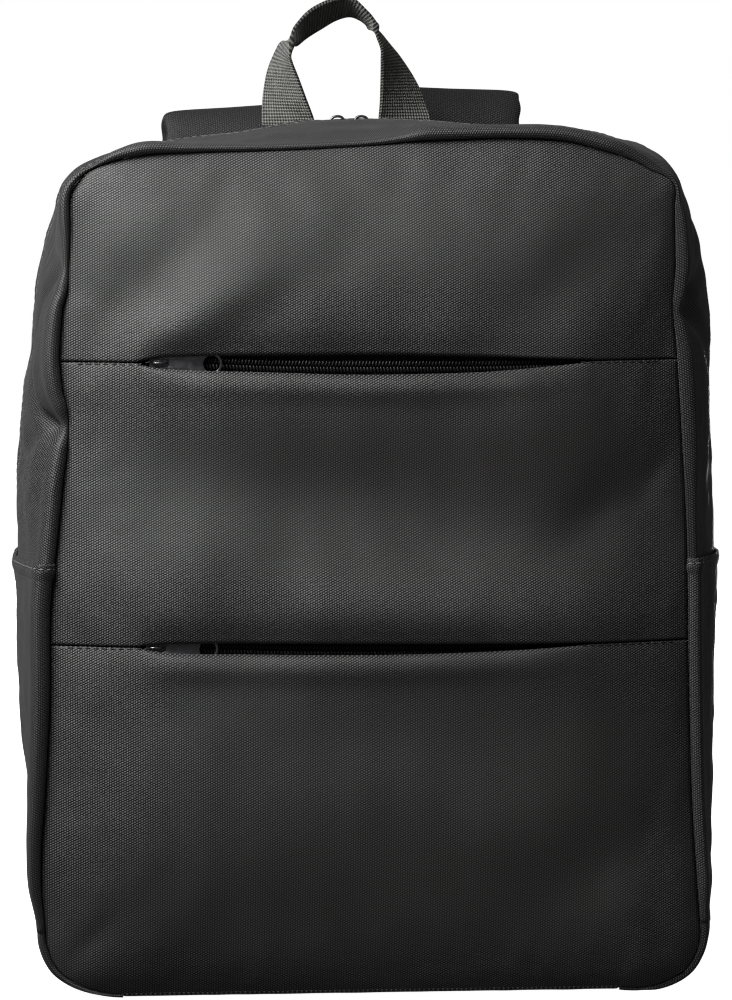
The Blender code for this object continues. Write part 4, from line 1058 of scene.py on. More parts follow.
def edge_shares(height):
    """Shares of the way up a tier: close together at its two ends."""
    near = np.array([0, 0.35, 0.7, 1.05, 1.4, 1.8, 2.3, 2.9, 3.7, 4.7]) * 0.001 / height
    count = int(height * (1 - 2 * near[-1]) / 0.0016)
    even = np.linspace(near[-1], 1 - near[-1], count)
    return np.concatenate([near[:-1], even, (1 - near[:-1])[::-1]])


def rolled(distance, radius):
    """How far a folded edge turns back, at a distance from the fold."""
    short = np.clip(radius - distance, 0, radius)
    return radius - np.sqrt(np.maximum(radius**2 - short**2, 0))


def front_tier(name, low_row, high_row, bottom, top, height, rolls):
    """One tier of the front; rolls says how far its lower and upper edges turn back."""
    up = edge_shares(height)
    across = np.linspace(0, 1, PANEL_COLUMNS + 1)
    low_line, low_share = bottom(across)
    high_line, high_share = top(across)
    left = between(low_row, high_row, up)
    right = between(LAST - low_row, LAST - high_row, up)
    left[0], left[-1] = low_line[0], high_line[0]
    right[0], right[-1] = low_line[-1], high_line[-1]
    flat = coons(left, right, low_line, high_line, up, across)
    x, z = flat[..., 0], flat[..., 1]
    y = front_y(x, z)
    edges = ((rolls[0], low_line, low_share, True), (rolls[1], high_line, high_share, False))
    for roll, line, share, lower in edges:
        if not roll:
            continue
        away = np.abs(z - line[None, :, 1])
        radius = HEM_ROLL + HEM_ROLL_AT_GAPE * np.clip(share * 2.2, 0, 1)[None]
        y = y + rolled(away, radius)
        loose = np.clip(share * 1.6, 0, 1)[None]
        if lower:
            y = y + roll * LOWER_HEM_SINK * loose * np.exp(-((away / LOWER_HEM_REACH) ** 2))
        else:
            swell = np.exp(-((away / UPPER_HEM_REACH - 1) ** 2))
            y = y - roll * UPPER_HEM_SWELL * loose * swell
    grid = np.stack([x, y, z], axis=-1)
    piece = cloth(name + "_cloth", grid, PANEL_WALL, FABRIC, np.stack([x, z], axis=-1))
    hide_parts(name)


def base_line(across, curve=SEAM):
    """A curve's run along the base, with no gape, at shares of the way across."""
    corner = np.linspace(0, 1, 12)
    left = between(BASE_CORNER_ROW, 0, corner, curve)
    right = between(LAST, LAST - BASE_CORNER_ROW, corner, curve)
    line = np.vstack([left, right])
    return resample(line, run_length(line)[-1] * across), np.zeros_like(across)


def top_line(across):
    return between(TOP_CORNER_ROW, LAST - TOP_CORNER_ROW, across), np.zeros_like(across)


def zip_edge_line(front_zip, side):
    """A tier's edge along a front zip, as a function of shares of the way across."""
    return lambda across: zip_line(*front_zip, side, across)


def make_front():
    above_upper, below_upper = zip_edge_line(UPPER_ZIP, 1), zip_edge_line(UPPER_ZIP, -1)
    above_lower, below_lower = zip_edge_line(LOWER_ZIP, 1), zip_edge_line(LOWER_ZIP, -1)
    tiers = (
        # tier, lower row, upper row, lower edge, upper edge, height for the mesh, rolls
        ("upper", UPPER_ZIP_ROW, TOP_CORNER_ROW, above_upper, top_line, 0.092, (0.8, 0)),
        ("middle", LOWER_ZIP_ROW, UPPER_ZIP_ROW, above_lower, below_upper, 0.124, (1.0, 1.0)),
        ("lower", BASE_CORNER_ROW, LOWER_ZIP_ROW, base_line, below_lower, 0.152, (0, 0.8)),
    )
    for tier, low_row, high_row, bottom, top, height, rolls in tiers:
        front_tier(f"front_{tier}_panel", low_row, high_row, bottom, top, height, rolls)


# The gussets


def zip_half_opening():
    share = np.clip((SEAM[:, 1] - MAIN_ZIP_END) / (2 * MAIN_ZIP_HALF_OPENING), 0, 1)
    return SEWN_GAP / 2 + (MAIN_ZIP_HALF_OPENING - SEWN_GAP / 2) * share


def place(out, y):
    """Points at a distance out from the seam and at a depth, for each row of the seam."""
    flat = SEAM + NORMALS * out[:, None]
    z = np.maximum(flat[:, 1], TOUCH_GAP)
    return np.stack([flat[:, 0], y, z], axis=1)


def gusset_relief(back):
    """Folds and soft unevenness of the gusset at a depth behind the front seam."""
    along = SEAM_SHARE * SEAM_LENGTH
    depth = np.full_like(along, back)
    fade = min(1.0, back / 0.006)
    dent = folds(along, depth, GUSSET_FOLD_ROWS) * fade
    low = np.clip(SEAM[:, 1] / 0.02, 0, 1)
    uneven = 0.00035 * ripple(along, depth, 21, 0.014, 0.060)
    uneven += 0.0002 * ripple(along, depth, 22, 0.008, 0.02)
    return (uneven * fade - dent) * low


def front_gusset_grid(extra=0.0):
    """The front gusset's outer face, moved out by extra for what lies on it."""
    zip_edge = MAIN_ZIP_Y - zip_half_opening()
    columns = []
    for back, out, lip_out, lip_front in smooth_rows(FRONT_GUSSET_ROWS, SECTION_STEPS):
        depth = FRONT_SEAM_Y + back * (zip_edge - FRONT_SEAM_Y)
        reach = out * BULGES + lip_out * LIPS * LIP_WIDTH + SEWN_GAP
        reach += gusset_relief(back * FRONT_GUSSET_DEPTH)
        reach -= rolled((1 - back) * FRONT_GUSSET_DEPTH, ZIP_EDGE_ROLL) * 0.6
        outward = extra * min(1.0, max(0.0, 2 * lip_out + out + back))
        columns.append(place(reach + outward, depth - lip_front * (LIP_HEIGHTS + extra)))
    return np.stack(columns, axis=1)


def back_gusset_grid(extra=0.0):
    """The back gusset's outer face, moved out by extra for what lies on it."""
    zip_edge = MAIN_ZIP_Y + zip_half_opening()
    columns = []
    for back, in_share in smooth_rows(BACK_GUSSET_ROWS, SECTION_STEPS):
        away = back * BACK_GUSSET_DEPTH
        reach = BULGES + in_share * (BACK_SHARE_OF_BULGE - 1) * BULGES + SEWN_GAP
        reach += gusset_relief(FRONT_GUSSET_DEPTH + away) * (1 - 0.7 * back)
        reach -= rolled(away, ZIP_EDGE_ROLL) * 0.6
        reach -= rolled(BACK_GUSSET_DEPTH - away, BACK_EDGE_ROLL) * 0.8
        columns.append(place(reach + extra, zip_edge + back * (BACK_SEAM_Y - zip_edge)))
    return np.stack(columns, axis=1)


def gusset_uv(grid):
    """Weave laid so that its rows run round the side, as the cloth is cut."""
    u = grid_uv(grid)[..., 0]
    v = np.broadcast_to((SEAM_SHARE * SEAM_LENGTH)[:, None], u.shape)
    return np.stack([u, v], -1)


def make_gussets():
    for name, grid in (("front_gusset", front_gusset_grid()), ("back_gusset", back_gusset_grid())):
        piece = cloth(name + "_cloth", grid, GUSSET_WALL, SIDE_FABRIC, gusset_uv(grid), turn=True)
        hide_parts(name)


def make_gusset_stitches():
    """A faint row of stitches on each side of the main zip."""
    zipped = SEAM[:, 1] > MAIN_ZIP_END - 0.006
    for side, grid, edge in (("front", front_gusset_grid(), -1), ("back", back_gusset_grid(), 0)):
        distance = np.linalg.norm(grid[MIDDLE] - grid[MIDDLE, edge], axis=1)
        near = int(np.argmin(np.abs(distance - TOPSTITCH_INSET)))
        line, out = grid[zipped, near], -grid_normals(grid)[zipped, near]
        made = stitches(f"main_zip_{side}_topstitch", line, out, TOPSTITCH, GREY_THREAD)


# Side pockets


def pocket_shell(extra, left_side):
    """The gusset's outer face a little further out, on one side of the bag."""
    front = front_gusset_grid(extra)[:, 3:]
    back = back_gusset_grid(extra)[:, 2:]
    rows = slice(0, MIDDLE) if left_side else slice(LAST, MIDDLE, -1)
    return np.concatenate([front, back], axis=1)[rows]


def pocket_grid(left_side):
    """A pocket's outer face, its normals, and how far below the hem each row lies."""
    loose = pocket_shell(POCKET_WALL + POCKET_EASE, left_side)
    sewn = pocket_shell(TOUCH_GAP, left_side)
    known = SEAM[:MIDDLE, 1] if left_side else SEAM[LAST:MIDDLE:-1, 1]
    share = np.clip((loose[0, :, 1] - FRONT_SEAM_Y) / 0.030, 0, 1)
    top = POCKET_HEM_FRONT_Z + (POCKET_HEM_Z - POCKET_HEM_FRONT_Z) * share**0.7
    steps = np.concatenate([np.linspace(0, 0.90, 84)[:-1], np.linspace(0.90, 1, 22)])
    free = np.clip(steps * (POCKET_HEM_Z - POCKET_FOOT_Z) / POCKET_SEWN_RUN, 0, 1)
    free = free * free * (3 - 2 * free)
    made = np.empty((len(steps), loose.shape[1], 3))
    for j in range(loose.shape[1]):
        wanted = POCKET_FOOT_Z + (top[j] - POCKET_FOOT_Z) * steps
        for k in range(3):
            far = np.interp(wanted, known, loose[:, j, k])
            near = np.interp(wanted, known, sewn[:, j, k])
            made[:, j, k] = near + (far - near) * free
    below = (1 - steps) * (POCKET_HEM_Z - POCKET_FOOT_Z)
    hem = np.clip(1 - np.abs(below - HEM_MIDDLE) / HEM_HEIGHT, 0, 1) ** 0.5 * HEM_RISE
    groove = -0.0003 * np.exp(-(((below - 0.0022) / 0.0005) ** 2))
    normals = grid_normals(made) * (-1 if left_side else 1)
    return made + normals * (hem + groove)[:, None, None], normals, below


def make_side_pockets():
    for name, left_side in (("left_side_pocket", True), ("right_side_pocket", False)):
        grid, normals, below = pocket_grid(left_side)
        piece = cloth(name + "_cloth", grid, POCKET_WALL, SIDE_FABRIC, grid_uv(grid), turn=left_side)
        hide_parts(name)
        row = int(np.argmin(np.abs(below - HEM_STITCH_BELOW)))
        line = grid[row] + normals[row] * 0.0001
        thread = stitches(name + "_hem_stitches", line, normals[row], HEM_STITCH, GREY_THREAD)


# Zips


def make_coil(name, line, outward):
    """Two facing rows of nylon loops along a line, each loop rounded over the tape."""
    along = run_length(line)
    at = np.arange(COIL_PITCH, along[-1] - COIL_PITCH, COIL_PITCH)
    centres = resample(line, at)
    heading = unit(resample(line, at + COIL_PITCH) - resample(line, at - COIL_PITCH))
    out = unit(np.stack([np.interp(at, along, outward[:, k]) for k in range(3)], 1))
    across = np.cross(heading, out)
    places, directions = [], []
    for side, shift in ((1, 0.0), (-1, 0.5)):
        aside = across * side * COIL_HALF_WIDTH * 0.52
        places.append(centres + aside + heading * COIL_PITCH * shift + out * 0.0003)
        directions.append(unit(across * side + heading * 0.28))
    sizes = np.array([[COIL_HALF_WIDTH * 0.56, COIL_PITCH * 0.40, COIL_HEIGHT * 0.46]])
    up = np.concatenate([out, out])
    return beads(name, np.concatenate(places), np.concatenate(directions), up, sizes, BLACK_COIL_AND_SHADE)


def front_zip_middle(front_zip, x):
    """Height of the middle of a front zip's opening at places across the front."""
    across = np.linspace(0, 1, 121)
    above, _ = zip_line(*front_zip, 1, across)
    below, _ = zip_line(*front_zip, -1, across)
    middle = (above + below) / 2
    return np.interp(x, middle[:, 0], middle[:, 1])


def make_front_zip(name, front_zip):
    """Tape and coil of a front zip behind its lips; it gives back the coil's line."""
    low, high = ZIP_OPENING_LEFT, ZIP_OPENING_RIGHT
    x = np.linspace(low - FRONT_TAPE_PAST_LEFT, high + FRONT_TAPE_PAST_RIGHT, 160)
    z = front_zip_middle(front_zip, x)
    y = front_y(x, z, fine=False) + ZIP_BEHIND
    share = np.linspace(-1, 1, 13)
    tape_y = 0.0002 * np.cos(share * math.pi) - 0.0012 * np.abs(share) ** 2
    grid = np.stack([
        np.broadcast_to(x[None], (len(share), len(x))),
        y[None] + tape_y[:, None],
        z[None] + share[:, None] * FRONT_TAPE_HALF_WIDTH,
    ], axis=-1)
    tape = cloth(name + "_tape", grid, TAPE_WALL, TAPE)
    lowered = 0.0009 * np.clip((x + 0.075) / 0.03, 0, 1)
    line = np.stack([x, y - TAPE_WALL, z - lowered], axis=1)
    inside = (x > low - COIL_PAST_OPENING) & (x < high + COIL_PAST_OPENING)
    coil = make_coil(name + "_coil", line[inside], np.tile((0.0, -1.0, 0.0), (inside.sum(), 1)))
    for piece in (tape, coil):
        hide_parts(name)
    return line


def make_zip_end_stitches(name, front_zip):
    """The dark stitches that close the seam beside a front zip's opening."""
    above, _ = zip_line(*front_zip, 1, np.linspace(0, 1, 400))
    left, right = SEAM[front_zip[0], 0], SEAM[LAST - front_zip[0], 0]
    ends = (
        ("left", left + 0.006, ZIP_OPENING_LEFT + 0.010),
        ("right", ZIP_OPENING_RIGHT - 0.008, right - 0.006),
    )
    for end, low, high in ends:
        chosen = above[(above[:, 0] > low) & (above[:, 0] < high)]
        x, z = chosen[:, 0], chosen[:, 1] - 0.0010
        line = np.stack([x, front_y(x, z) - 0.0001, z], axis=1)
        out = np.tile((0.0, -1.0, 0.15), (len(line), 1))
        thread = stitches(f"{name}_{end}_below_stitches", line, out, ZIP_END_STITCH, DARK_THREAD)


def make_main_zip():
    """Tape and coil of the main zip, sunk between the two gussets."""
    inside = SEAM[:, 1] > MAIN_ZIP_END - 0.010
    reach = BULGES + SEWN_GAP - MAIN_ZIP_SUNK - COIL_HEIGHT
    columns = []
    for share in np.linspace(-1, 1, 9):
        across = np.full(SEAM_POINTS, MAIN_ZIP_Y + share * MAIN_TAPE_HALF_WIDTH)
        columns.append(place(reach + 0.0009 * share**2, across))
    grid = np.stack(columns, axis=1)[inside]
    tape = cloth("main_zip_tape", grid, TAPE_WALL, TAPE, turn=True)
    line = place(reach + TAPE_WALL, np.full(SEAM_POINTS, MAIN_ZIP_Y))
    out = np.stack([NORMALS[:, 0], np.zeros(SEAM_POINTS), NORMALS[:, 1]], axis=1)
    zipped = SEAM[:, 1] > MAIN_ZIP_END
    coil = make_coil("main_zip_coil", line[zipped], out[zipped])
    for piece in (tape, coil):
        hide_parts("main_zip")


# Sliders and pull tabs


def frame_matrix(origin, along, outward):
    """A placing matrix: local X along the chain, local Z out from its coil."""
    x_axis = Vector(along).normalized()
    z_axis = Vector(outward)
    z_axis = (z_axis - x_axis * z_axis.dot(x_axis)).normalized()
    turned = Matrix((x_axis, z_axis.cross(x_axis), z_axis)).transposed().to_4x4()
    return Matrix.Translation(Vector(origin)) @ turned


def rounded_outline(low, high, radius, steps):
    points = []
    corners = (
        (high[0] - radius, high[1] - radius, 0),
        (low[0] + radius, high[1] - radius, 90),
        (low[0] + radius, low[1] + radius, 180),
        (high[0] - radius, low[1] + radius, 270),
    )
    for x, y, start in corners:
        for step in range(steps + 1):
            angle = math.radians(start + 90 * step / steps)
            points.append((x + radius * math.cos(angle), y + radius * math.sin(angle)))
    return points


def circle_outline(x, radius, steps):
    turns = [math.tau * k / steps for k in range(steps)]
    return [(x + radius * math.cos(turn), radius * math.sin(turn)) for turn in turns]


def flat_shape(name, outlines, half_height, bevel, matrix, material, body, slot):
    """A plate cut from outlines, with softly bevelled edges."""
    curve = bpy.data.curves.new(name, "CURVE")
    curve.dimensions = "2D"
    curve.fill_mode = "BOTH"
    curve.extrude = half_height - bevel
    curve.bevel_depth = bevel
    curve.bevel_resolution = 2
    curve.offset = -bevel
    for outline in outlines:
        spline = curve.splines.new("POLY")
        spline.points.add(len(outline) - 1)
        for point, (x, y) in zip(spline.points, outline):
            point.co = (x, y, 0, 1)
        spline.use_cyclic_u = True
    return curve_to_piece(name, curve, matrix, material, body)


def curve_to_piece(name, curve, matrix, material, body):
    holder = bpy.data.objects.new(name + "_curve", curve)
    bpy.context.scene.collection.objects.link(holder)
    bpy.context.view_layer.update()
    graph = bpy.context.evaluated_depsgraph_get()
    mesh = bpy.data.meshes.new_from_object(holder.evaluated_get(graph))
    bpy.data.objects.remove(holder, do_unlink=True)
    mesh.transform(matrix)
    mesh.materials.clear()
    mesh.materials.append(material)
    mesh.shade_smooth()
    weld = bmesh.new()
    weld.from_mesh(mesh)
    bmesh.ops.remove_doubles(weld, verts=weld.verts, dist=2e-6)
    weld.to_mesh(mesh)
    weld.free()
    mesh.set_sharp_from_angle(angle=math.radians(38))
    made = bpy.data.objects.new(name, mesh)
    bpy.context.scene.collection.objects.link(made)
    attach(made, body)
    return made


def wire(name, points, radius, matrix, material, body, slot):
    curve = bpy.data.curves.new(name, "CURVE")
    curve.dimensions = "3D"
    curve.bevel_depth = radius
    curve.bevel_resolution = 4
    curve.use_fill_caps = True
    spline = curve.splines.new("POLY")
    spline.points.add(len(points) - 1)
    for point, at in zip(spline.points, points):
        point.co = (*at, 1)
    return curve_to_piece(name, curve, matrix, material, body)


def slider_outline():
    """A slider seen from above: broad at its mouth, drawn in at its tail."""
    right = [(x * 0.001, y * 0.001) for x, y in SLIDER_ROWS]
    return right + [(x, -y) for x, y in right[::-1]]


def bridge_points():
    """The arch over a slider's plate that holds the pull tab."""
    points = []
    for step in range(17):
        angle = math.radians(180 - 180 * step / 16)
        rise = (BRIDGE_CREST - BRIDGE_FOOT) * math.sin(angle) ** 0.6
        points.append((BRIDGE_HALF_SPAN * math.cos(angle), 0, BRIDGE_FOOT + rise))
    return points


def front_pull_row(prefix, line, x):
    """Pivot and directions of a front zip's pull tab, which lies along its coil."""
    pivot = point_at_x(line, x) - (0, PIVOT_BEFORE_COIL, 0)
    tip = point_at_x(line, x + PULL_TIP) - (0, PIVOT_BEFORE_COIL, 0)
    return prefix, "bag", tuple(pivot), tuple(tip - pivot), (0, -1, 0)


def point_at_x(line, x):
    return np.array([np.interp(x, line[:, 0], line[:, k]) for k in range(3)])


def make_pulls(pull_rows):
    """Sliders with their bridges, and the pull tabs that hang on them."""
    plate, post = [slider_outline()], [circle_outline(0.0030, 0.0009, 12)]
    slider_rows = (
        # name, outlines, half height, bevel, height above the seat
        ("plate", plate, 0.00050, 0.00022, 0.0005),
        ("underplate", plate, 0.00040, 0.00018, -0.0030),
        ("post", post, 0.0016, 0.0001, -0.0013),
    )
    tab_outlines = [
        rounded_outline((-0.0007, -TAB_HALF_WIDTH), (TAB_LENGTH, TAB_HALF_WIDTH), 0.00455, 10),
        rounded_outline((0.0007, -0.0017), (0.0042, 0.0017), 0.0010, 4),
        circle_outline(*TAB_RING, 28),
    ]
    looks = METAL, "bag", "pull_metal"
    for prefix, body, pivot, along, outward in pull_rows:
        pivot_frame = frame_matrix(pivot, along, outward)
        seat = pivot_frame @ Matrix.Translation((0, 0, -PIVOT_ABOVE_SEAT))
        pieces = []
        for part, outlines, half_height, bevel, rise in slider_rows:
            matrix = seat @ Matrix.Translation((0, 0, rise))
            name = f"{prefix}_slider_{part}"
            pieces.append(flat_shape(name, outlines, half_height, bevel, matrix, *looks))
        pieces.append(wire(prefix + "_slider_bridge", bridge_points(), BRIDGE_RADIUS, seat, *looks))
        for piece in pieces:
            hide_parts(prefix + "_slider")
        name = prefix + "_pull_tab"
        tab = flat_shape(name, tab_outlines, 0.00042, 0.00016, pivot_frame, METAL, body, "pull_metal")
        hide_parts(prefix + "_pull")


# Base and back


def make_base():
    """The flat base, its front and back edges rising to the seams."""
    x = np.linspace(SEAM[0, 0] + SEWN_GAP, SEAM[-1, 0] - SEWN_GAP, 110)
    front = FRONT_SEAM_Y + 0.0006
    front_bend, back_bend = front + 0.006, BACK_SEAM_Y - 0.008
    y = np.concatenate([
        np.linspace(front, front_bend, 8)[:-1],
        np.linspace(front_bend, back_bend, 40),
        np.linspace(back_bend, BACK_SEAM_Y, 8)[1:],
    ])
    lift = SEAM_BASE * (1 - np.clip(np.minimum(y - front, BACK_SEAM_Y - y) / 0.0055, 0, 1) ** 0.7)
    grid = np.stack(np.broadcast_arrays(x[:, None], y[None], lift[None]), axis=-1)
    piece = cloth("base_panel_cloth", grid, BASE_WALL, FABRIC)
    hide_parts("base_panel")


def make_back_panel():
    """Foam pads under open mesh, parted by a middle channel and two sewn channels."""
    reach = BACK_SHARE_OF_BULGE * BULGES - SEWN_GAP
    edge = SEAM + NORMALS * reach[:, None]
    rows, columns = 230, 170
    up, across = np.linspace(0, 1, rows), np.linspace(0, 1, columns)
    bottom, _ = base_line(across, edge)
    top = between(TOP_CORNER_ROW, LAST - TOP_CORNER_ROW, across, edge)
    left = between(BASE_CORNER_ROW, TOP_CORNER_ROW, up, edge)
    right = between(LAST - BASE_CORNER_ROW, LAST - TOP_CORNER_ROW, up, edge)
    flat = coons(left, right, bottom, top, up, across)
    x, z = flat[..., 0], np.maximum(flat[..., 1], SEAM_BASE)
    away = np.minimum(seam_distance(x, z) + 0.004, 0.05)
    rim = np.clip(away / PAD_ROUNDING, 0, 1)
    crown = BACK_PAD_EDGE + (BACK_PAD - BACK_PAD_EDGE) * np.sin(rim * math.pi / 2)
    sewn = np.exp(-((x / MIDDLE_CHANNEL_HALF_WIDTH) ** 2)) * np.clip((away - 0.008) / 0.02, 0, 1)
    for height in CHANNEL_HEIGHTS:
        over = (z - height + 0.10 * np.abs(x)) / CHANNEL_HALF_WIDTH
        sewn = np.maximum(sewn, np.exp(-(over**2)))
    border = np.exp(-(((away - BORDER_INSET) / BORDER_HALF_WIDTH) ** 2))
    sewn = np.maximum(sewn, border * 0.8)
    crown = crown - np.minimum(crown - PAD_LEAST_WALL, CHANNEL_DEPTH) * sewn
    crown += 0.0004 * ripple(x, z, 31, 0.03, 0.08) * rim
    y_inner = BACK_SEAM_Y + SEWN_GAP
    outer = np.stack([x, y_inner + crown, z], axis=-1)
    inner = np.stack([x, np.full_like(x, y_inner), z], axis=-1)
    quads, side = grid_quads(rows, columns), rim_quads(rows, columns)
    faces = np.concatenate([quads[:, ::-1], quads + rows * columns, side[:, ::-1]]).tolist()
    uv = np.stack([x, z], axis=-1).reshape(-1, 2)
    vertices = np.concatenate([outer.reshape(-1, 3), inner.reshape(-1, 3)])
    piece = new_piece("back_panel_padding", vertices, faces, MESH, np.concatenate([uv, uv]))
    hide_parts("back_panel")


# Handle, straps and buckles


def webbing(name, centres, across, half_widths, walls, material):
    """Flat webbing with rounded selvedges, lofted along its middle line."""
    out = unit(np.cross(unit(np.gradient(centres, axis=0)), across))
    rings = np.stack([
        centres + a * half_widths[:, None] * across + b * walls[:, None] * out
        for a, b in WEBBING_SECTION
    ], axis=1)
    u = np.stack([a * half_widths for a, _ in WEBBING_SECTION], axis=1)
    v = np.broadcast_to(run_length(centres)[:, None], u.shape)
    piece = tube_rings(name, rings, material, np.stack([u, v], axis=-1))
    return piece


def top_surface_z(x, y):
    """Height of the back gusset's outer face over the top at a place."""
    share = (y - MAIN_ZIP_Y) / (BACK_SEAM_Y - MAIN_ZIP_Y)
    in_share = np.interp(share, column(BACK_GUSSET_ROWS, 0), column(BACK_GUSSET_ROWS, 1))
    reach = BULGES * (1 + in_share * (BACK_SHARE_OF_BULGE - 1)) + SEWN_GAP
    flat = SEAM + NORMALS * reach[:, None]
    top = slice(TOP_CORNER_ROW, LAST - TOP_CORNER_ROW)
    return np.interp(x, flat[top, 0], flat[top, 1])


def foot_height(low_x, high_x):
    """Height at which a foot of the handle stands on the top, between two places."""
    x = np.linspace(low_x, high_x, 9)
    return top_surface_z(x, HANDLE_FOOT_Y - 2 * WEBBING_WALL).max() + TOUCH_GAP


def make_handle():
    """The webbing handle, flat at its feet and turned over in its two necks."""
    rows = smooth_rows(HANDLE_ROWS, 10)
    outer_x = HARNESS_SHIFT + rows[:, 0] * HANDLE_HALF_SPAN
    inner_x = HARNESS_SHIFT + rows[:, 2] * HANDLE_HALF_SPAN
    left_foot = foot_height(outer_x[0], inner_x[0])
    right_foot = foot_height(inner_x[-1], outer_x[-1])
    foot = left_foot + (right_foot - left_foot) * np.clip((rows[:, 0] + 1) / 2, 0, 1)
    outer_z = foot + rows[:, 1] * HANDLE_HEIGHT
    inner_z = foot + rows[:, 3] * HANDLE_HEIGHT
    turn = np.clip(rows[:, 4], -1, 1)
    middle_x, middle_z = (outer_x + inner_x) / 2, (outer_z + inner_z) / 2
    reach_x, reach_z = turn * (outer_x - inner_x) / 2, turn * (outer_z - inner_z) / 2
    lean = np.sqrt(np.maximum((WEBBING_WIDTH / 2) ** 2 - reach_x**2 - reach_z**2, 0))
    centres = np.stack([middle_x, np.full_like(middle_x, HANDLE_FOOT_Y), middle_z], axis=1)
    reach = np.stack([reach_x, -lean, reach_z], axis=1)
    widths = np.full(len(centres), WEBBING_WIDTH / 2)
    walls = WEBBING_WALL * (1 + 1.3 * np.exp(-((turn / 0.5) ** 2)))
    across = unit(reach)
    piece = webbing("carry_handle_webbing", centres, across, widths, walls, GREY)
    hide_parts("carry_handle")


def strap_line(side):
    """Middle line, half width and thickness of a strap, from its sewn end down."""
    shift, narrower, lift, _ = STRAP_SIDES[side]
    rows = smooth_rows(STRAP_ROWS, 9)
    back = BACK_SEAM_Y + SEWN_GAP + BACK_PAD
    y = back + rows[:, 0] * STRAP_BOW
    z = STRAP_END_Z + rows[:, 1] * (STRAP_RISE - STRAP_PAD / 2 - STRAP_END_Z)
    x_top = HARNESS_SHIFT + side * STRAP_SPACING + shift
    x = x_top + rows[:, 2] * (side * STRAP_END_X - x_top)
    half = STRAP_HALF_WIDTH + rows[:, 3] * (STRAP_END_HALF_WIDTH - STRAP_HALF_WIDTH) - narrower
    pad = np.maximum(rows[:, 4], 0.15) * STRAP_PAD
    rise = lift * np.clip(rows[:, 1] * 4 - 3, 0, 1)
    return np.stack([x, y, z + rise], axis=1), half, pad


def strap_frame(centres):
    """Directions across a strap and out from it, along its middle line."""
    tangents = unit(np.gradient(centres, axis=0))
    across = square_to(np.tile((1.0, 0.0, 0.0), (len(centres), 1)), tangents)
    return across, np.cross(tangents, across)


def make_strap(name, side):
    """A padded strap: cloth over foam, bound along its edges and sewn inside them."""
    centres, half, pad = strap_line(side)
    across, out = strap_frame(centres)
    angle = np.linspace(0, math.tau, 40, endpoint=False)
    a = np.sign(np.cos(angle)) * np.abs(np.cos(angle)) ** 0.28
    b = np.sign(np.sin(angle)) * np.abs(np.sin(angle)) ** 0.75
    groove = 0.30 * np.exp(-(((np.abs(a) - STRAP_GROOVE_SHARE) / 0.035) ** 2))
    along = run_length(centres)
    wave = 1 + 0.010 * np.sin(along / 0.013 * math.tau) + 0.01 * np.sin(along / 0.029 * math.tau + side)
    tilt = STRAP_SIDES[side][3] * np.clip((centres[:, 2] - 0.34) / 0.03, 0, 1)
    hanging = np.clip((centres[:, 1] - BACK_SEAM_Y - BACK_PAD - 0.35 * STRAP_BOW) / 0.006, 0, 1)
    height = b * (1 - groove * hanging[:, None])
    rings = (
        centres[:, None]
        + (half * wave)[:, None, None] * a[None, :, None] * across[:, None]
        + (pad * 0.5)[:, None, None] * height[..., None] * out[:, None]
    )
    rings[..., 2] += (tilt * half)[:, None] * a[None]
    u = half[:, None] * a[None]
    v = np.broadcast_to(along[:, None], u.shape)
    piece = tube_rings(name + "_shoulder_strap_padding", rings, STRAP_FABRIC, np.stack([u, v], axis=-1))
    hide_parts(name + "_shoulder_strap")
    sewn = hanging > 0.5
    for edge, sign in (("inner", -1), ("outer", 1)):
        reach = half * STRAP_GROOVE_SHARE * sign
        for face, lift in (("top", 1), ("under", -1)):
            line = centres + across * reach[:, None] + out * (pad * 0.36 * lift)[:, None]
            line[:, 2] += tilt * reach
            thread_name = f"{name}_strap_{edge}_{face}_stitches"
            thread = stitches(thread_name, line[sewn], out[sewn] * lift, STRAP_STITCH, DARK_THREAD)
    lower = centres[-1]
    heading = unit(centres[-1] - centres[-2])
    make_buckle(name + "_strap_buckle", lower, heading)
    make_strap_webbing(name + "_strap_webbing", side, lower, heading)


def buckle_axes(heading):
    """Directions across a buckle, down it and out of its face."""
    down = Vector(heading)
    across = Vector((1, 0, 0))
    across = (across - down * across.dot(down)).normalized()
    return across, down, across.cross(down)


def make_buckle(name, strap_end, heading):
    """A ladder-lock buckle: a plate with two slots and three bars."""
    half = BUCKLE_WIDTH / 2
    bar = (BUCKLE_HEIGHT - 2 * BUCKLE_SLOT) / 3
    outlines = [rounded_outline((0, -half), (BUCKLE_HEIGHT, half), 0.0036, 6)]
    for index in range(2):
        low = (bar + index * (BUCKLE_SLOT + bar), -BUCKLE_SLOT_HALF_WIDTH)
        high = (low[0] + BUCKLE_SLOT, BUCKLE_SLOT_HALF_WIDTH)
        outlines.append(rounded_outline(low, high, 0.0010, 3))
    _, down, out = buckle_axes(heading)
    matrix = frame_matrix(Vector(strap_end) + down * TOUCH_GAP, down, out)
    looks = PLASTIC, "bag", "buckle_plastic"
    piece = flat_shape(name + "_moulding", outlines, BUCKLE_WALL / 2, 0.0006, matrix, *looks)
    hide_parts(name)


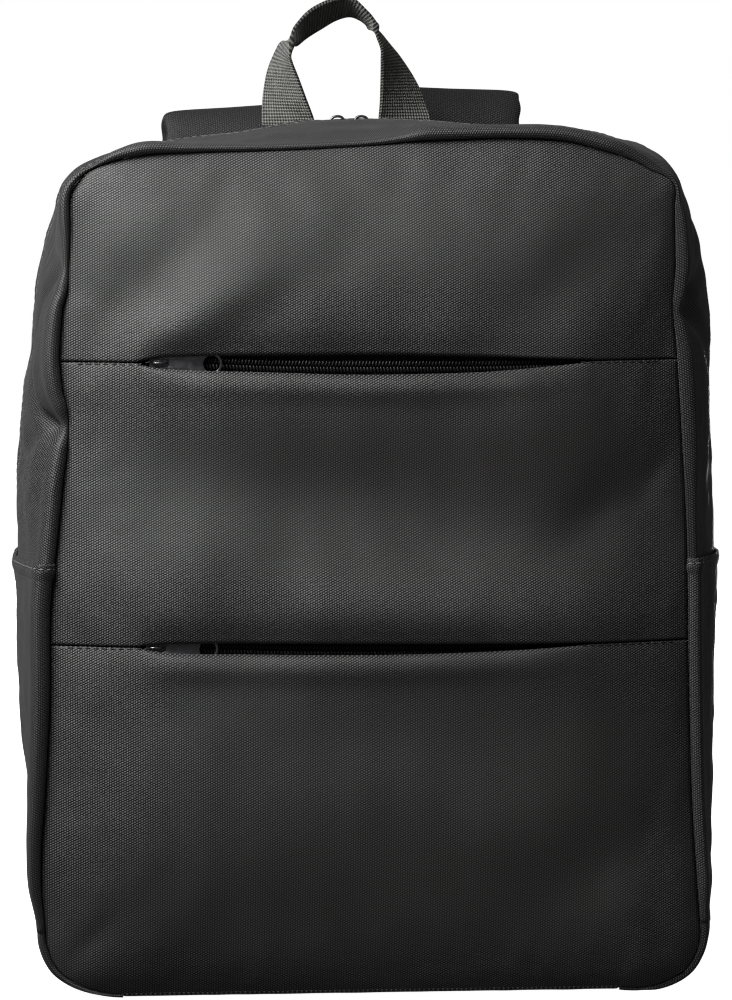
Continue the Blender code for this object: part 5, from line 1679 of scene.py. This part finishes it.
def make_strap_webbing(name, side, strap_end, heading):
    """The lower webbing, from its anchor up behind the buckle, round a bar and down."""
    across, down, out = buckle_axes(heading)
    bar = (BUCKLE_HEIGHT - 2 * BUCKLE_SLOT) / 3
    bar_edge = Vector(strap_end) + down * (TOUCH_GAP + 2 * bar + 2 * BUCKLE_SLOT)
    behind = BUCKLE_WALL / 2 + WEBBING_WALL / 2 + TOUCH_GAP
    anchor_y = BACK_SEAM_Y + SEWN_GAP + BACK_PAD_EDGE + BACK_PAD / 2 + WEBBING_WALL
    anchor = Vector((side * ANCHOR_X, anchor_y, ANCHOR_Z))
    inner = out if out.y < 0 else -out
    lower = bar_edge + down * (bar + BUCKLE_SLOT) + inner * behind
    middle = (lower + anchor) / 2 + Vector((0, BACK_PAD / 2, 0))
    line = [tuple(p) for p in smooth_rows([anchor, middle, lower], 16)]
    for step in range(17):
        angle = math.pi * step / 16
        line.append(tuple(bar_edge + (inner * math.cos(angle) - down * math.sin(angle)) * behind))
    end = bar_edge + down * BUCKLE_HEIGHT - inner * behind
    start = Vector(line[-1])
    for step in range(1, 9):
        line.append(tuple(start.lerp(end, step / 8)))
    line = np.array(line)
    widths = np.full(len(line), STRAP_WEBBING_HALF_WIDTH)
    walls = np.full(len(line), STRAP_WEBBING_WALL)
    across = square_to(np.tile(tuple(across), (len(line), 1)), unit(np.gradient(line, axis=0)))
    piece = webbing(name + "_weave", line, across, widths, walls, BLACK)
    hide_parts(name)


# Floor, light and camera


def make_stage():
    mesh = bpy.data.meshes.new("floor")
    turns = [math.tau * k / 64 for k in range(64)]
    ring = [(FLOOR_RADIUS * math.cos(turn), FLOOR_RADIUS * math.sin(turn), 0.0) for turn in turns]
    mesh.from_pydata(ring, [], [list(range(64))])
    material, _, shader = node_tree("floor_looks")
    shader.inputs["Base Color"].default_value = (0.86, 0.86, 0.86, 1)
    shader.inputs["Roughness"].default_value = 0.9
    shader.inputs["Specular IOR Level"].default_value = 0.1
    shader.inputs["Emission Color"].default_value = (1, 1, 1, 1)
    shader.inputs["Emission Strength"].default_value = 0.97
    mesh.materials.append(material)
    floor = bpy.data.objects.new("floor", mesh)
    bpy.context.scene.collection.objects.link(floor)
    floor.visible_glossy = False
    floor.visible_diffuse = False


def area_light(name, place_at, target, size, power):
    data = bpy.data.lights.new(name, "AREA")
    data.shape = "RECTANGLE"
    data.size, data.size_y = size
    data.energy = power
    light = bpy.data.objects.new(name, data)
    light.location = place_at
    light.rotation_euler = (Vector(target) - Vector(place_at)).to_track_quat("-Z", "Y").to_euler()
    bpy.context.scene.collection.objects.link(light)


def make_light():
    for name, place_at, target, size, power in LIGHT_ROWS:
        area_light(name, place_at, target, size, power)
    world = bpy.data.worlds.new("studio")
    bpy.context.scene.world = world
    world.use_nodes = True
    tree = world.node_tree
    # the camera sees a white room, which gives the bag only a dim light
    seen = tree.nodes["Background"]
    seen.inputs["Color"].default_value = (1, 1, 1, 1)
    seen.inputs["Strength"].default_value = 1.0
    dim = add(tree, "ShaderNodeBackground")
    dim.inputs["Color"].default_value = (1, 1, 1, 1)
    dim.inputs["Strength"].default_value = ROOM_LIGHT
    mix = add(tree, "ShaderNodeMixShader")
    path = add(tree, "ShaderNodeLightPath")
    tree.links.new(path.outputs["Is Camera Ray"], mix.inputs[0])
    tree.links.new(dim.outputs[0], mix.inputs[1])
    tree.links.new(seen.outputs[0], mix.inputs[2])
    tree.links.new(mix.outputs[0], tree.nodes["World Output"].inputs[0])
    bpy.context.scene.view_settings.view_transform = "Standard"
    bpy.context.scene.cycles.filter_width = 1.2


def make_camera():
    azimuth, elevation = math.radians(CAMERA_AZIMUTH), math.radians(CAMERA_ELEVATION)
    back = Vector((
        math.sin(azimuth) * math.cos(elevation),
        -math.cos(azimuth) * math.cos(elevation),
        math.sin(elevation),
    ))
    data = bpy.data.cameras.new("camera")
    data.sensor_width = 36
    data.lens = data.sensor_width * CAMERA_DISTANCE / (PICTURE_HEIGHT * METRES_PER_PIXEL)
    camera = bpy.data.objects.new("camera", data)
    camera.location = Vector(CAMERA_TARGET) + back * CAMERA_DISTANCE
    camera.rotation_euler = (-back).to_track_quat("-Z", "Y").to_euler()
    bpy.context.scene.collection.objects.link(camera)
    bpy.context.scene.camera = camera


make_camera()
make_front()
make_gussets()
make_gusset_stitches()
make_side_pockets()
upper_coil = make_front_zip("upper_zip", UPPER_ZIP)
lower_coil = make_front_zip("lower_zip", LOWER_ZIP)
make_zip_end_stitches("upper_zip", UPPER_ZIP)
make_zip_end_stitches("lower_zip", LOWER_ZIP)
make_main_zip()
make_pulls((
    *MAIN_PULL_ROWS,
    front_pull_row("upper_zip", upper_coil, UPPER_SLIDER_X),
    front_pull_row("lower_zip", lower_coil, LOWER_SLIDER_X),
))
make_base()
make_back_panel()
make_handle()
make_strap("left", -1)
make_strap("right", 1)
make_stage()
make_light()
